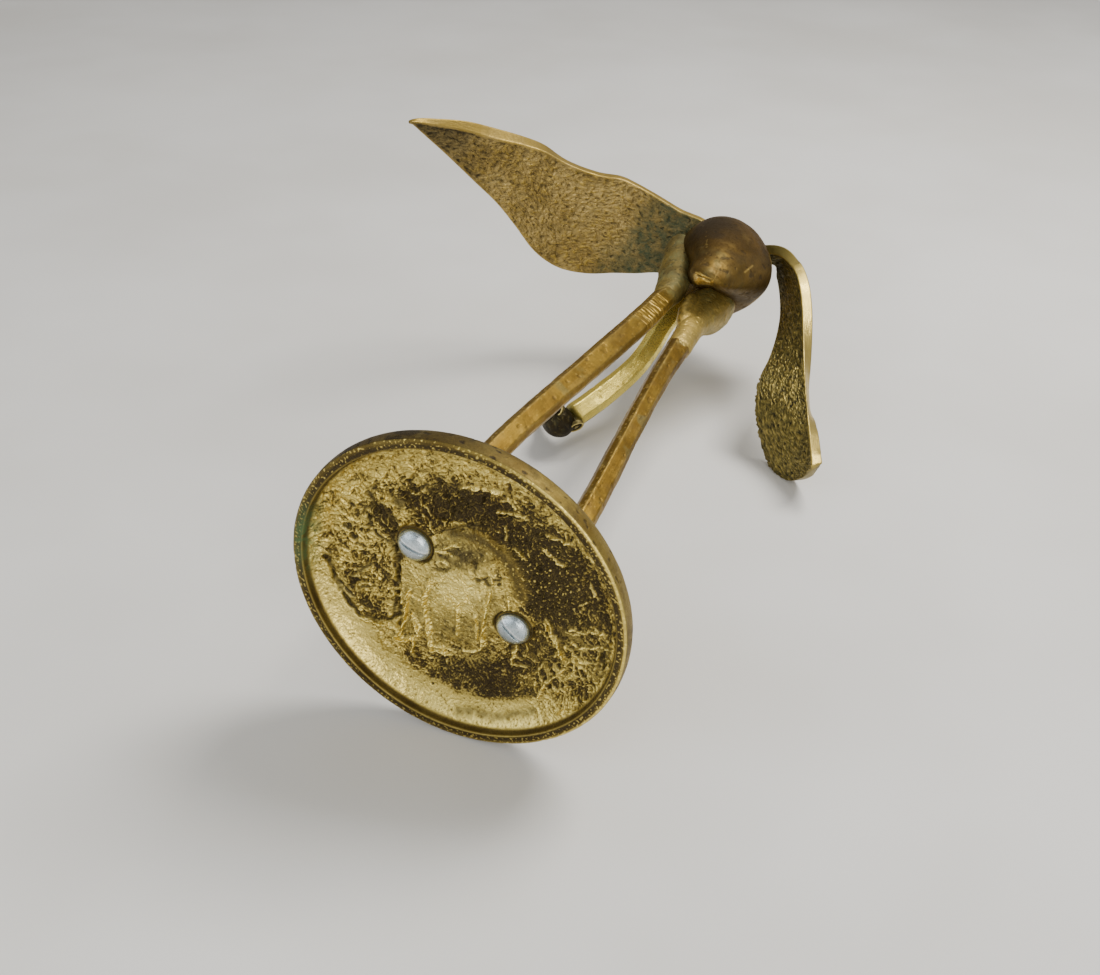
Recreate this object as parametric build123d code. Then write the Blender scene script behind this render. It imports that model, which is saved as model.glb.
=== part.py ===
from build123d import *
import os
import math

# Cast-brass wading bird with open wings, standing on a round dished base.
# Millimetres. Origin: centre of the base's foot ring, on the plane it stands on.
# +Z up, +Y the way the bird faces, +X the bird's right-hand side.

# ---------------------------------------------------------------- base
BASE_R = 50.0            # outer radius at the polished wall
FOOT_OUT_R = 49.4        # flat foot ring, outer and inner radius
FOOT_IN_R = 47.0
BASE_TOP_Z = 13.5        # crown of the low dome

# (radius, z): out along the hollow underside, round the foot and wall, back over the dome
BASE_PROFILE = [
    (0, 5.2), (8, 5.6), (15, 7.0), (24, 8.6), (32, 8.0), (40, 6.2), (44, 4.2), (46.2, 2.2),
    (46.6, 0.5), (FOOT_IN_R, 0), (FOOT_OUT_R, 0), (BASE_R - 0.1, 0.7), (BASE_R, 3.0),
    (BASE_R - 0.4, 5.4), (48.3, 7.2), (45, 8.5), (36, 10.5), (24, 12.3), (12, 13.2),
    (0, BASE_TOP_Z),
]

# ---------------------------------------------------------------- leg screws and their holes
LEG_X = 17.8             # screw and leg stations, left and right of centre
LEG_SEAT_Z = 11.6        # floor of the shallow leg sockets in the dome
SCREW_SEAT_Z = 7.5       # spot face under the dome for the screw head
SCREW_R = 2.5            # M5
SCREW_LEN = 16.0
SCREW_TIP_CHAMFER = 0.6
SCREW_HEAD_R = 5.0
SCREW_HEAD_H = 3.0
SCREW_TURNS = ((-1, -12), (1, 8))    # (side along X, turn of the slot in degrees)
SLOT_W = 1.2
SLOT_D = 1.2
SLOT_LEN = 2.4 * SCREW_HEAD_R        # longer than the head is wide, so the slot runs right across
SPOT_R = SCREW_HEAD_R + 0.6
CLEAR_R = SCREW_R + 0.25
CLEAR_LEN = 30           # clears the top of the dome
TAP_R = SCREW_R + 0.02
TAP_DEPTH = 14.0

# (radius, z) of the pan head, from its flat seat down to the domed crown
SCREW_HEAD_PROFILE = [
    (0, 0), (SCREW_HEAD_R - 0.3, 0), (SCREW_HEAD_R, -0.4), (SCREW_HEAD_R, -1.1),
    (SCREW_HEAD_R - 0.7, -2.2), (SCREW_HEAD_R - 2.2, -2.8), (0, -SCREW_HEAD_H),
]

# ---------------------------------------------------------------- legs, thighs, brazed seams
LEFT_TOP_Z = 206.0       # flat top of each leg bar, set into its thigh
RIGHT_TOP_Z = 178.0
TENON_R = 2.6
TENON_H = 8.0
LEG_CHAMFER = 0.24       # corner chamfer as a share of the bar's depth

# leg centre lines: (x, z, width along X, depth along Y)
LEFT_LEG = [
    (-LEG_X, LEG_SEAT_Z, 8.2, 6.4), (-18.1, 40, 8.2, 6.4), (-17.4, 66, 8.3, 6.5),
    (-14.8, 97, 8.6, 6.6), (-12.2, 124, 9.0, 6.8), (-8.8, 160, 9.4, 7.0),
    (-7.0, 182, 9.4, 7.2), (-5.6, LEFT_TOP_Z, 8.8, 7.0),
]
RIGHT_LEG = [
    (LEG_X, LEG_SEAT_Z, 8.0, 6.4), (17.8, 40, 8.0, 6.4), (16.6, 68, 7.9, 6.5),
    (14.6, 96, 7.6, 6.6), (12.7, 120, 7.4, 6.7), (10.7, 152, 7.8, 6.9),
    (9.9, RIGHT_TOP_Z, 8.8, 7.2),
]

# thighs: (x, y, z, half width X, half depth Y), horizontal oval sections
LEFT_THIGH = [
    (-6.4, 2.6, 195, 3.9, 3.2), (-5.8, 3.2, 206, 4.8, 4.8), (-6.0, 3.6, 216, 6.0, 7.2),
    (-8.2, 3.2, 227, 6.6, 8.0), (-11.5, 2.5, 237, 6.0, 7.0), (-14.0, 2.5, 246, 5.0, 6.0),
]
RIGHT_THIGH = [
    (9.9, 0.0, RIGHT_TOP_Z, 4.8, 4.2), (9.7, 0.3, 190, 5.0, 4.6), (9.3, 1.0, 200, 5.8, 5.4),
    (9.8, 2.4, 210, 7.4, 7.2), (10.8, 4.0, 219, 9.0, 9.6), (11.6, 5.0, 230, 9.2, 10.6),
    (11.0, 5.0, 245, 6.0, 8.0),
]

LEFT_SEAM_Z = 196.5      # mid-height of each seam
RIGHT_SEAM_Z = RIGHT_TOP_Z
# (height from the seam's middle, how far it stands proud of the bar in X, and in Y)
SEAM_SECTIONS = [(-1.6, 0.35, 0.35), (0, 1.0, 1.0), (1.6, 0.9, 0.95)]

# ---------------------------------------------------------------- body, neck, head
BODY_X = 4.0             # the body sits slightly right of the base centre

# breast to tail tip: (y, z, axis angle below horizontal, half width X, half depth)
BODY = [
    (28.5, 262.6, 8, 3.0, 3.0), (26.5, 262.0, 10, 8.5, 9.0), (21.0, 260.6, 12, 13.6, 14.4),
    (13.0, 258.0, 16, 17.4, 18.0), (3.0, 253.4, 25, 19.4, 20.2), (-6.0, 245.6, 42, 19.4, 18.6),
    (-12.5, 235.0, 60, 18.0, 14.2), (-16.0, 223.0, 72, 14.6, 9.6), (-17.6, 212.5, 78, 10.0, 6.0),
    (-18.6, 205.5, 80, 6.0, 3.4), (-19.2, 202.6, 80, 2.6, 1.4),
]

# from inside the body down to the head: (x, y, z, width, depth)
NECK = [
    (4.0, 17.0, 246.0, 8.4, 7.0), (2.6, 19.0, 231.0, 8.4, 7.0), (1.8, 20.6, 219.0, 8.4, 7.0),
    (3.2, 25.0, 206.0, 8.6, 7.0), (3.6, 29.2, 196.0, 8.8, 7.0), (2.4, 34.0, 186.6, 9.2, 7.0),
    (0.4, 38.8, 176.6, 9.6, 7.2), (-1.4, 42.0, 168.8, 9.6, 7.2), (-2.8, 44.2, 163.6, 9.4, 7.2),
]
NECK_CHAMFER = 0.26      # corner chamfer as a share of the bar's depth

SKULL = Vector(-5.9, 48.6, 159.4)
BILL_AXIS = Vector(-0.28, 0.66, 0.70).normalized()    # the bill is raised forwards
# back of the skull to the bill's tip: (distance from SKULL along the axis, half width, half depth)
HEAD = [
    (-7.0, 1.6, 1.5), (-6.2, 3.6, 3.4), (-4.2, 5.3, 5.0), (-1.2, 6.3, 6.0), (2.2, 6.2, 5.9),
    (5.6, 5.4, 5.1), (8.8, 4.1, 3.9), (12.0, 3.0, 2.8), (16.5, 2.2, 2.1), (24.0, 1.4, 1.3),
    (31.0, 0.6, 0.55),
]

# ---------------------------------------------------------------- wings
# underside edges, root to tip: ((x, y, z) on the trailing edge, (x, y, z) on the leading edge)
LEFT_WING = [
    ((-3.0, -7.0, 252.5), (-4.0, 15.0, 251.0)), ((-12.5, -10.1, 252.0), (-13.6, 20.7, 249.8)),
    ((-23.3, -6.9, 251.4), (-20.8, 27.5, 248.6)), ((-34.0, -5.7, 249.7), (-28.3, 33.2, 246.0)),
    ((-43.5, -4.9, 247.0), (-35.2, 38.4, 242.4)), ((-50.6, -3.6, 244.7), (-43.0, 42.4, 239.0)),
    ((-58.9, 0.2, 241.0), (-50.7, 43.6, 235.4)), ((-70.2, 2.0, 235.0), (-60.2, 40.5, 229.4)),
    ((-80.1, 1.4, 228.6), (-72.0, 33.7, 223.5)), ((-88.35, 2.3, 222.3), (-82.6, 28.0, 217.9)),
    ((-97.3, 4.1, 214.7), (-93.6, 23.3, 211.2)), ((-106.9, 5.0, 206.2), (-108.6, 18.2, 204.0)),
    ((-116.4, 6.9, 196.6), (-117.6, 12.9, 195.4)), ((-123.2, 7.7, 188.9), (-122.5, 8.6, 188.7)),
]
RIGHT_WING = [
    ((8.0, -8.0, 256.0), (8.5, 5.0, 264.0)), ((18.0, -19.6, 253.4), (20.4, -10.0, 264.0)),
    ((25.2, -24.2, 245.4), (26.0, -6.8, 264.4)), ((31.3, -24.8, 237.0), (31.6, -5.0, 256.8)),
    ((38.1, -22.6, 227.0), (36.2, -4.6, 243.8)), ((44.6, -19.5, 216.5), (39.6, -3.2, 230.0)),
    ((51.4, -16.5, 204.8), (41.8, -1.6, 215.9)), ((57.6, -14.6, 193.0), (42.6, -0.4, 202.4)),
    ((62.1, -13.5, 184.1), (45.4, 2.2, 193.0)), ((65.3, -12.7, 177.4), (51.6, 7.4, 188.6)),
    ((68.4, -12.0, 170.7), (60.4, 13.0, 185.0)), ((70.8, -11.5, 165.3), (67.8, 14.4, 179.8)),
    ((72.3, -11.0, 162.2), (74.4, 9.4, 173.2)), ((73.4, -10.6, 159.9), (76.0, -0.6, 165.4)),
]
# thickness, evenly spaced from root to tip
LEFT_WING_THICKNESS = (3.8, 3.8, 3.8, 4.2, 4.8, 5.0, 4.6, 3.4, 2.2)
RIGHT_WING_THICKNESS = (4.0, 4.4, 4.8, 5.0, 4.8, 4.4)
# how far the upper corner overhangs the trailing edge, at each station
LEFT_FLARE = (0, 0, 0, 0, 0, 0, 0, 0.3, 1.6, 2.2, 3.0, 2.5, 1.5, 0)
RIGHT_FLARE = (0,) * len(RIGHT_WING)


# ---------------------------------------------------------------- helpers
def biggest(shape):
    return max(shape.solids(), key=lambda solid: solid.volume)


def upright(radius, height):
    # cylinder standing on its own origin
    return Cylinder(radius, height, align=(Align.CENTER, Align.CENTER, Align.MIN))


def turned(profile):
    return revolve(Plane.XZ * make_face(Polyline(*profile, close=True)), Axis.Z)


def tangent(points, i):
    return (points[min(i + 1, len(points) - 1)] - points[max(i - 1, 0)]).normalized()


def plane_across(origin, axis):
    # plane square to the axis, its local X as near to world X as it can be
    return Plane(origin=origin, x_dir=Vector(1, 0, 0) - axis * axis.X, z_dir=axis)


def octagon(plane, width, depth, chamfer_ratio):
    # chamfered rectangle: the facets of a hand-filed bar
    x, y, cut = width / 2, depth / 2, chamfer_ratio * depth
    points = [(-x + cut, -y), (x - cut, -y), (x, -y + cut), (x, y - cut),
              (x - cut, y), (-x + cut, y), (-x, y - cut), (-x, -y + cut)]
    return plane * make_face(Polyline(*points, close=True))


def oval(plane, half_x, half_y):
    # always starts on its local X axis, so lofts between wide and tall ovals don't twist
    angles = [math.radians(degrees) for degrees in range(0, 360, 24)]
    points = [(half_x * math.cos(a), half_y * math.sin(a)) for a in angles]
    return plane * make_face(Spline(*points, periodic=True))


def smooth(rows, steps):
    # Catmull-Rom curve through the rows of a section table, with this many steps per gap
    out = []
    for i in range(len(rows) - 1):
        span = (rows[max(i - 1, 0)], rows[i], rows[i + 1], rows[min(i + 2, len(rows) - 1)])
        for k in range(steps):
            t = k / steps
            out.append(tuple(
                0.5 * (2 * b + (c - a) * t + (2 * a - 5 * b + 4 * c - d) * t * t
                       + (3 * b - a - 3 * c + d) * t ** 3)
                for a, b, c, d in zip(*span)))
    out.append(tuple(rows[-1]))
    return out


def interpolate(values, share):
    # straight-line lookup in values evenly spaced from 0 to 1
    place = share * (len(values) - 1)
    i = min(int(place), len(values) - 2)
    return values[i] * (1 - (place - i)) + values[i + 1] * (place - i)


# ---------------------------------------------------------------- pieces
def make_base(left_bar, right_bar):
    base = turned(BASE_PROFILE)
    for side in (-1, 1):
        # spot face and clearance hole for the leg screw
        base -= Pos(side * LEG_X, 0, 0) * upright(SPOT_R, SCREW_SEAT_Z)
        base -= Pos(side * LEG_X, 0, 0) * upright(CLEAR_R, CLEAR_LEN)
    # shallow sockets that stop the legs turning
    return base - left_bar - right_bar


def make_screw():
    # slotted pan head, domed crown facing down
    head = turned(SCREW_HEAD_PROFILE)
    head -= Pos(0, 0, -SCREW_HEAD_H) * Box(SLOT_LEN, SLOT_W, 2 * SLOT_D)
    shank = upright(SCREW_R, SCREW_LEN)
    return head + chamfer(shank.edges().group_by(Axis.Z)[-1], SCREW_TIP_CHAMFER)


def make_leg_bar(line):
    return loft([octagon(Plane(origin=(x, 0, z)), width, depth, LEG_CHAMFER)
                 for x, z, width, depth in smooth(line, 2)], ruled=True)


def finish_leg(leg, line):
    # tenon on top, tapped hole up from the foot
    x_top, z_top = line[-1][:2]
    leg += Pos(x_top, 0, z_top) * upright(TENON_R, TENON_H)
    leg -= Pos(line[0][0], 0, LEG_SEAT_Z) * upright(TAP_R, TAP_DEPTH)
    return leg


def make_thigh(table):
    return loft([oval(Plane(origin=row[:3]), row[3], row[4]) for row in table])


def make_seam(line, z, leg, thigh):
    # brazed ring round the leg bar, sized from the bar's section at height z
    below, above = next((a, b) for a, b in zip(line, line[1:]) if a[1] <= z <= b[1])
    share = (z - below[1]) / (above[1] - below[1])
    x, _, width, depth = [a + (b - a) * share for a, b in zip(below, above)]
    ring = loft([oval(Plane(origin=(x, 0, z + rise)), width / 2 + proud_x, depth / 2 + proud_y)
                 for rise, proud_x, proud_y in SEAM_SECTIONS])
    return biggest(ring - leg - thigh)


def make_body():
    faces = []
    for y, z, degrees, half_width, half_depth in BODY:
        angle = math.radians(degrees)
        plane = Plane(origin=(BODY_X, y, z), x_dir=(1, 0, 0),
                      z_dir=(0, -math.cos(angle), -math.sin(angle)))
        faces.append(oval(plane, half_width, half_depth))
    return loft(faces)


def make_neck():
    points = [Vector(*row[:3]) for row in NECK]
    return loft([octagon(plane_across(points[i], tangent(points, i)), row[3], row[4], NECK_CHAMFER)
                 for i, row in enumerate(NECK)], ruled=True)


def make_head(neck):
    head = loft([oval(plane_across(SKULL + BILL_AXIS * along, BILL_AXIS), half_width, half_depth)
                 for along, half_width, half_depth in smooth(HEAD, 2)], ruled=True)
    return biggest(head - neck)


def make_wing(stations, thicknesses, flares):
    # each section is the quadrilateral between the underside line and the same line
    # raised by the casting's thickness along the upper face's normal
    edges = [(Vector(*trailing), Vector(*leading)) for trailing, leading in stations]
    middles = [(trailing + leading) * 0.5 for trailing, leading in edges]
    faces = []
    for i, (trailing, leading) in enumerate(edges):
        chord = (leading - trailing).normalized()
        normal = tangent(middles, i).cross(chord).normalized()
        if normal.Z < 0:
            normal = normal * -1
        rise = normal * interpolate(thicknesses, i / (len(stations) - 1))
        faces.append(make_face(Polyline(
            trailing, leading, leading + rise, trailing + rise - chord * flares[i], close=True)))
    return loft(faces, ruled=True)


# ---------------------------------------------------------------- build and fit together
left_leg = make_leg_bar(LEFT_LEG)
right_leg = make_leg_bar(RIGHT_LEG)
base = make_base(left_leg, right_leg)
left_leg = finish_leg(left_leg, LEFT_LEG)
right_leg = finish_leg(right_leg, RIGHT_LEG)

screws = Compound(children=[
    Pos(side * LEG_X, 0, SCREW_SEAT_Z) * Rot(0, 0, turn) * make_screw()
    for side, turn in SCREW_TURNS])

body = make_body()
neck = make_neck()
head = make_head(neck)
left_wing = make_wing(LEFT_WING, LEFT_WING_THICKNESS, LEFT_FLARE)
right_wing = make_wing(RIGHT_WING, RIGHT_WING_THICKNESS, RIGHT_FLARE)

# the thighs end on the body's skin and clear the neck; the legs' tenons sit in them
right_thigh = make_thigh(RIGHT_THIGH) - body - neck - right_leg
left_thigh = make_thigh(LEFT_THIGH) - right_thigh - body - neck - left_leg - left_wing
right_thigh = biggest(right_thigh)
left_thigh = biggest(left_thigh)
# pockets: the wings and the neck reach into the body
body = biggest(body - neck - left_wing - right_wing)

seams = Compound(children=[
    make_seam(LEFT_LEG, LEFT_SEAM_Z, left_leg, left_thigh),
    make_seam(RIGHT_LEG, RIGHT_SEAM_Z, right_leg, right_thigh)])

nodes = {
    "base_dish": base,
    "leg_screws": screws,
    "left_leg": left_leg,
    "right_leg": right_leg,
    "left_thigh": left_thigh,
    "right_thigh": right_thigh,
    "leg_braze_seams": seams,
    "body": body,
    "neck": neck,
    "head_and_bill": head,
    "left_wing": left_wing,
    "right_wing": right_wing,
}

os.makedirs("parts", exist_ok=True)
for name, shape in nodes.items():
    export_step(shape, f"parts/{name}.step")
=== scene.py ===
# A cast and filed brass bird on two long legs, screwed to a round hollow base.
# Z is up and the base's foot ring stands on z = 0. The wings spread along x, with the left one
# towards -x. The neck and bill hang down on the +y side, the tail points to -y.
# Shapes are worked out in millimetres and stored in metres. The camera looks up from below,
# and the floor is tilted so that the figure lies on its base rim, a wing and the head.
import math

import bmesh
import bpy
import numpy as np
from mathutils import Matrix, Vector


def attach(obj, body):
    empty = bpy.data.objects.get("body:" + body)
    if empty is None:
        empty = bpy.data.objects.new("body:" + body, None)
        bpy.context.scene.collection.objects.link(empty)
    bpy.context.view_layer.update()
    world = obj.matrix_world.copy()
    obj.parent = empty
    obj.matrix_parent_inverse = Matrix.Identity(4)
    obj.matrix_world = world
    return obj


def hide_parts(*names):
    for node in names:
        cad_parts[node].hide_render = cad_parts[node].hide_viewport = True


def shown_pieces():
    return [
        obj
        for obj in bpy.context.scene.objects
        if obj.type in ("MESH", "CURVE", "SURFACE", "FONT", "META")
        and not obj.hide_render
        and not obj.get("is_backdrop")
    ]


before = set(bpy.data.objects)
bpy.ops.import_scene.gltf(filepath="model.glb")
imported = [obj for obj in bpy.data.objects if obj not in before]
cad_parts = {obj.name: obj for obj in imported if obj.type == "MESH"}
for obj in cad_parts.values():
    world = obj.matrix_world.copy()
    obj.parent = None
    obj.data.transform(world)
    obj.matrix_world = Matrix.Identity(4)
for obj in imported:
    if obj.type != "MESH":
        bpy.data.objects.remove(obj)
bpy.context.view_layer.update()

MM = 0.001
TAU = 2 * math.pi

# The camera, in mm, and its axes. Some marks are placed where they are seen from it.
CAMERA_AT = np.array((-19.18, -251.74, -248.07))
CAMERA_RIGHT = (0.7578, -0.5331, 0.3763)
CAMERA_UP = (-0.6503, -0.5689, 0.5035)
CAMERA_BACK = (-0.0543, -0.6262, -0.7777)
CAMERA_AXES = np.column_stack((CAMERA_RIGHT, CAMERA_UP, CAMERA_BACK))
VIEW_PLANE = 325.0       # distance from the camera to the plane that seen marks are drawn on

LEG_X, SEAT_Z, SCREW_Z = 17.8, 11.6, 7.5


# ================================================================ smooth seeded noise
def lattice_hash(ix, iy, iz, seed):
    low_bits = np.uint64(0xFFFFFFFF)
    h = (ix.astype(np.uint64) * np.uint64(374761393) + iy.astype(np.uint64) * np.uint64(668265263)
         + iz.astype(np.uint64) * np.uint64(2147483629) + np.uint64(seed * 97531 + 17)) & low_bits
    h = ((h ^ (h >> np.uint64(13))) * np.uint64(1274126177)) & low_bits
    h = ((h ^ (h >> np.uint64(16))) * np.uint64(2246822519)) & low_bits
    return h ^ (h >> np.uint64(15))


def noise(at, size, seed):
    """Gradient noise, about -1..1. size is the feature size in mm, one number or one per axis.
    Points that share one z get two-dimensional noise."""
    cell = at / np.asarray(size, float) + 512.37
    flat = np.ptp(at[..., 2]) < 1e-9
    corner = np.floor(cell).astype(np.int64)
    part = cell - corner
    blend = part * part * part * (part * (part * 6 - 15) + 10)

    def slope(h, shift):
        return ((h >> np.uint64(shift)) & np.uint64(1023)).astype(float) / 511.5 - 1

    total = 0.0
    for a in (0, 1):
        weight_x = blend[..., 0] if a else 1 - blend[..., 0]
        for b in (0, 1):
            weight_y = blend[..., 1] if b else 1 - blend[..., 1]
            for c in ((0,) if flat else (0, 1)):
                weight_z = 1.0 if flat else (blend[..., 2] if c else 1 - blend[..., 2])
                h = lattice_hash(corner[..., 0] + a, corner[..., 1] + b, corner[..., 2] + c, seed)
                value = slope(h, 0) * (part[..., 0] - a) + slope(h, 10) * (part[..., 1] - b)
                if not flat:
                    value = value + slope(h, 20) * (part[..., 2] - c)
                total = total + weight_x * weight_y * weight_z * value
    return np.clip(total * 1.9, -1, 1)


def cloud(at, size, seed, octaves=3):
    """Noise with finer layers added, each half as strong as the one before."""
    total, amount, amounts, size = 0.0, 1.0, 0.0, np.asarray(size, float)
    for k in range(octaves):
        total = total + amount * noise(at, size, seed + 31 * k)
        amounts += amount
        amount *= 0.5
        size = size / 2.03
    return total / amounts


def clamp(value, low=0, high=1):
    return np.clip(value, low, high)


def ease(value, start, end):
    """Smooth rise from 0 at start to 1 at end."""
    t = clamp((value - start) / (end - start))
    return t * t * (3 - 2 * t)


def fall(value, start, end):
    return 1 - ease(value, start, end)


def patch(at, size, seed, start, end, octaves=3):
    """0..1, patches where the cloud is high."""
    return ease(cloud(at, size, seed, octaves), start, end)


def winding(at, size, seed, sharp=1, narrow=2.6):
    """0..1, high along winding lines."""
    return clamp(1 - np.abs(noise(at, size, seed)) * narrow) ** sharp


def bell(offset, width):
    return np.exp(-(offset / width) ** 2)


def spot(x, y, centre, spread):
    """Round-topped spot. spread holds the squared half widths in x and y."""
    return np.exp(-(x - centre[0]) ** 2 / spread[0] - (y - centre[1]) ** 2 / spread[1])


def stroke(at, line, width):
    """Bell-shaped stroke along a broken line. at holds the two plane coordinates."""
    x, y = at
    distance = np.full(x.shape, 1e9)
    for (ax, ay), (bx, by) in zip(line, line[1:]):
        dx, dy = bx - ax, by - ay
        t = clamp(((x - ax) * dx + (y - ay) * dy) / max(dx * dx + dy * dy, 1e-9))
        distance = np.minimum(distance, np.hypot(x - ax - t * dx, y - ay - t * dy))
    return bell(distance, width)


# ================================================================ curves and points
def points(x, y, z):
    return np.stack(np.broadcast_arrays(x, y, z), -1)


def axes(grid):
    return np.moveaxis(grid, -1, 0)


def unit(v):
    return v / np.maximum(np.linalg.norm(v, axis=-1, keepdims=True), 1e-12)


def catmull(rows, steps):
    """Smooth curve through the rows of a table, with so many steps to a gap."""
    rows = np.asarray(rows, float)
    out = []
    for i in range(len(rows) - 1):
        p0, p1, p2 = rows[max(i - 1, 0)], rows[i], rows[i + 1]
        p3 = rows[min(i + 2, len(rows) - 1)]
        for k in range(steps):
            t = k / steps
            out.append(0.5 * (2 * p1 + (p2 - p0) * t + (2 * p0 - 5 * p1 + 4 * p2 - p3) * t * t
                              + (3 * p1 - p0 - 3 * p2 + p3) * t ** 3))
    out.append(rows[-1])
    return np.array(out)


def lengths(line):
    return np.concatenate([[0], np.cumsum(np.linalg.norm(np.diff(line, axis=0), axis=1))])


def resample(rows, count, key=3):
    """Rows evenly spaced by length along the first `key` columns."""
    rows = np.asarray(rows, float)
    along = lengths(rows[:, :key])
    t = np.linspace(0, along[-1], count)
    return np.stack([np.interp(t, along, column) for column in rows.T], 1)


def circle(count):
    return (np.arange(count) / count * TAU)[None, :]


def revolve(profile, count):
    """Rings about the z axis from rows of (radius, z)."""
    radius, z = profile[:, :1], profile[:, 1:]
    return points(radius * np.cos(circle(count)), radius * np.sin(circle(count)), z)


def ovals(centres, axis_a, axis_b, radius_a, radius_b, count):
    turn = circle(count)[..., None]
    axis_a, axis_b = (np.atleast_2d(axis)[:, None, :] for axis in (axis_a, axis_b))
    return (centres[:, None, :] + radius_a[:, None, None] * np.cos(turn) * axis_a
            + radius_b[:, None, None] * np.sin(turn) * axis_b)


def in_view(grid):
    """Where points are seen on the view plane: mm right and mm down from the camera's axis."""
    right, up, back = axes((grid - CAMERA_AT) @ CAMERA_AXES)
    return -VIEW_PLANE * right / back, VIEW_PLANE * up / back


def facing(grid):
    """Cosine of the angle between each point's normal and the way to the camera."""
    return np.sum(unit(CAMERA_AT - grid) * ring_normals(grid)[0], -1)


# ================================================================ meshes from closed rings
def ring_normals(grid):
    along = np.gradient(grid, axis=0)
    around = (np.roll(grid, -1, 1) - np.roll(grid, 1, 1)) * 0.5
    raw = np.cross(around, along)
    middle = grid.reshape(-1, 3).mean(0)
    sign = 1.0 if np.sum((grid - middle) * raw) >= 0 else -1.0
    return unit(raw) * sign, sign


def piece(name, node, finish, grid, push, mask, poles=False):
    """Closed mesh through grid (rows, ring, 3) in mm, pushed out along its normals.
    mask: dark, bright and green amounts. finish: material and slot. node: CAD node replaced.
    poles: the first ring faces straight down and the last straight up."""
    rows, ring = grid.shape[:2]
    normals, sign = ring_normals(grid)
    if poles:
        normals[0], normals[-1] = (0, 0, -1), (0, 0, 1)
    pushed = grid + normals * push[..., None]
    verts = np.concatenate([pushed.reshape(-1, 3), pushed[[0, -1]].mean(1)])
    i = np.arange(rows - 1)[:, None] * ring
    j = np.arange(ring)
    k = (j + 1) % ring
    quads = np.stack([i + j, i + k, i + ring + k, i + ring + j], -1).reshape(-1, 4)
    last = (rows - 1) * ring
    tris = np.concatenate([np.stack([k, j, np.full(ring, rows * ring)], -1),
                           np.stack([last + j, last + k, np.full(ring, rows * ring + 1)], -1)])
    if sign < 0:
        quads, tris = quads[:, ::-1], tris[:, ::-1]
    mesh = bpy.data.meshes.new(name)
    mesh.vertices.add(len(verts))
    mesh.vertices.foreach_set("co", (verts * MM).astype(np.float32).ravel())
    loops = np.concatenate([quads.ravel(), tris.ravel()]).astype(np.int32)
    mesh.loops.add(len(loops))
    mesh.loops.foreach_set("vertex_index", loops)
    starts = np.concatenate([np.arange(len(quads)) * 4, len(quads) * 4 + np.arange(len(tris)) * 3])
    mesh.polygons.add(len(starts))
    mesh.polygons.foreach_set("loop_start", starts.astype(np.int32))
    mesh.polygons.foreach_set("use_smooth", np.ones(len(starts), bool))
    mesh.update(calc_edges=True)
    mask = np.stack(np.broadcast_arrays(push, *mask)[1:], -1)
    colour = np.ones((len(verts), 4), np.float32)
    colour[:, :3] = clamp(np.concatenate([mask.reshape(-1, 3), mask[[0, -1]].mean(1)]))
    mesh.attributes.new("mask", "FLOAT_COLOR", "POINT").data.foreach_set("color", colour.ravel())
    obj = bpy.data.objects.new(name, mesh)
    bpy.context.scene.collection.objects.link(obj)
    material, slot = finish
    mesh.materials.append(material)
    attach(obj, "root")
    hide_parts(node)


# ================================================================ materials
def srgb(red, green, blue):
    """Linear colour from 0..255 sRGB values."""
    def linear(c):
        c /= 255.0
        return c / 12.92 if c <= 0.04045 else ((c + 0.055) / 1.055) ** 2.4
    return (linear(red), linear(green), linear(blue), 1.0)


class Graph:
    """Short ways to add shader nodes to a new material."""

    def __init__(self, name):
        self.material = bpy.data.materials.new(name)
        self.material.use_nodes = True
        self.tree = self.material.node_tree
        self.tree.nodes.clear()
        self.out = self.tree.nodes.new("ShaderNodeOutputMaterial")

    def put(self, socket, value):
        if isinstance(value, bpy.types.NodeSocket):
            self.tree.links.new(value, socket)
        else:
            socket.default_value = value

    def node(self, kind, **inputs):
        node = self.tree.nodes.new(kind)
        for key, value in inputs.items():
            self.put(node.inputs[key.replace("_", " ")], value)
        return node

    def math(self, operation, a, b, clamp=False):
        node = self.tree.nodes.new("ShaderNodeMath")
        node.operation = operation
        node.use_clamp = clamp
        self.put(node.inputs[0], a)
        self.put(node.inputs[1], b)
        return node.outputs[0]

    def plus(self, a, b, clamp=False):
        return self.math("ADD", a, b, clamp)

    def minus(self, a, b, clamp=False):
        return self.math("SUBTRACT", a, b, clamp)

    def times(self, a, b, clamp=False):
        return self.math("MULTIPLY", a, b, clamp)

    def ramp(self, value, start, end, low=0.0, high=1.0):
        node = self.tree.nodes.new("ShaderNodeMapRange")
        node.clamp = True
        node.interpolation_type = "SMOOTHSTEP"
        for k, setting in enumerate((value, start, end, low, high)):
            self.put(node.inputs[k], setting)
        return node.outputs[0]

    def mix(self, amount, a, b):
        node = self.tree.nodes.new("ShaderNodeMix")
        node.data_type = "RGBA"
        for k, setting in ((0, amount), (6, a), (7, b)):
            self.put(node.inputs[k], setting)
        return node.outputs[2]

    def noise(self, coord, size, detail, rough=0.55, distort=0.0):
        """size is the feature size in mm."""
        return self.node("ShaderNodeTexNoise", Vector=coord, Scale=1000.0 / size, Detail=detail,
                         Roughness=rough, Distortion=distort).outputs[0]

    def streaks(self, coord, scale, turn, size):
        node = self.node("ShaderNodeMapping", Vector=coord)
        node.inputs["Scale"].default_value = scale
        node.inputs["Rotation"].default_value = turn
        return self.noise(node.outputs[0], size, detail=3.0, rough=0.7)

    def coord(self):
        return self.node("ShaderNodeTexCoord").outputs["Object"]

    def mask(self):
        """The mesh's dark, bright and green amounts."""
        node = self.node("ShaderNodeAttribute")
        node.attribute_name = "mask"
        node.attribute_type = "GEOMETRY"
        return self.node("ShaderNodeSeparateColor", Color=node.outputs["Color"]).outputs

    def finish(self, shader):
        self.put(self.out.inputs[0], shader.outputs[0])
        return self.material


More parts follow.
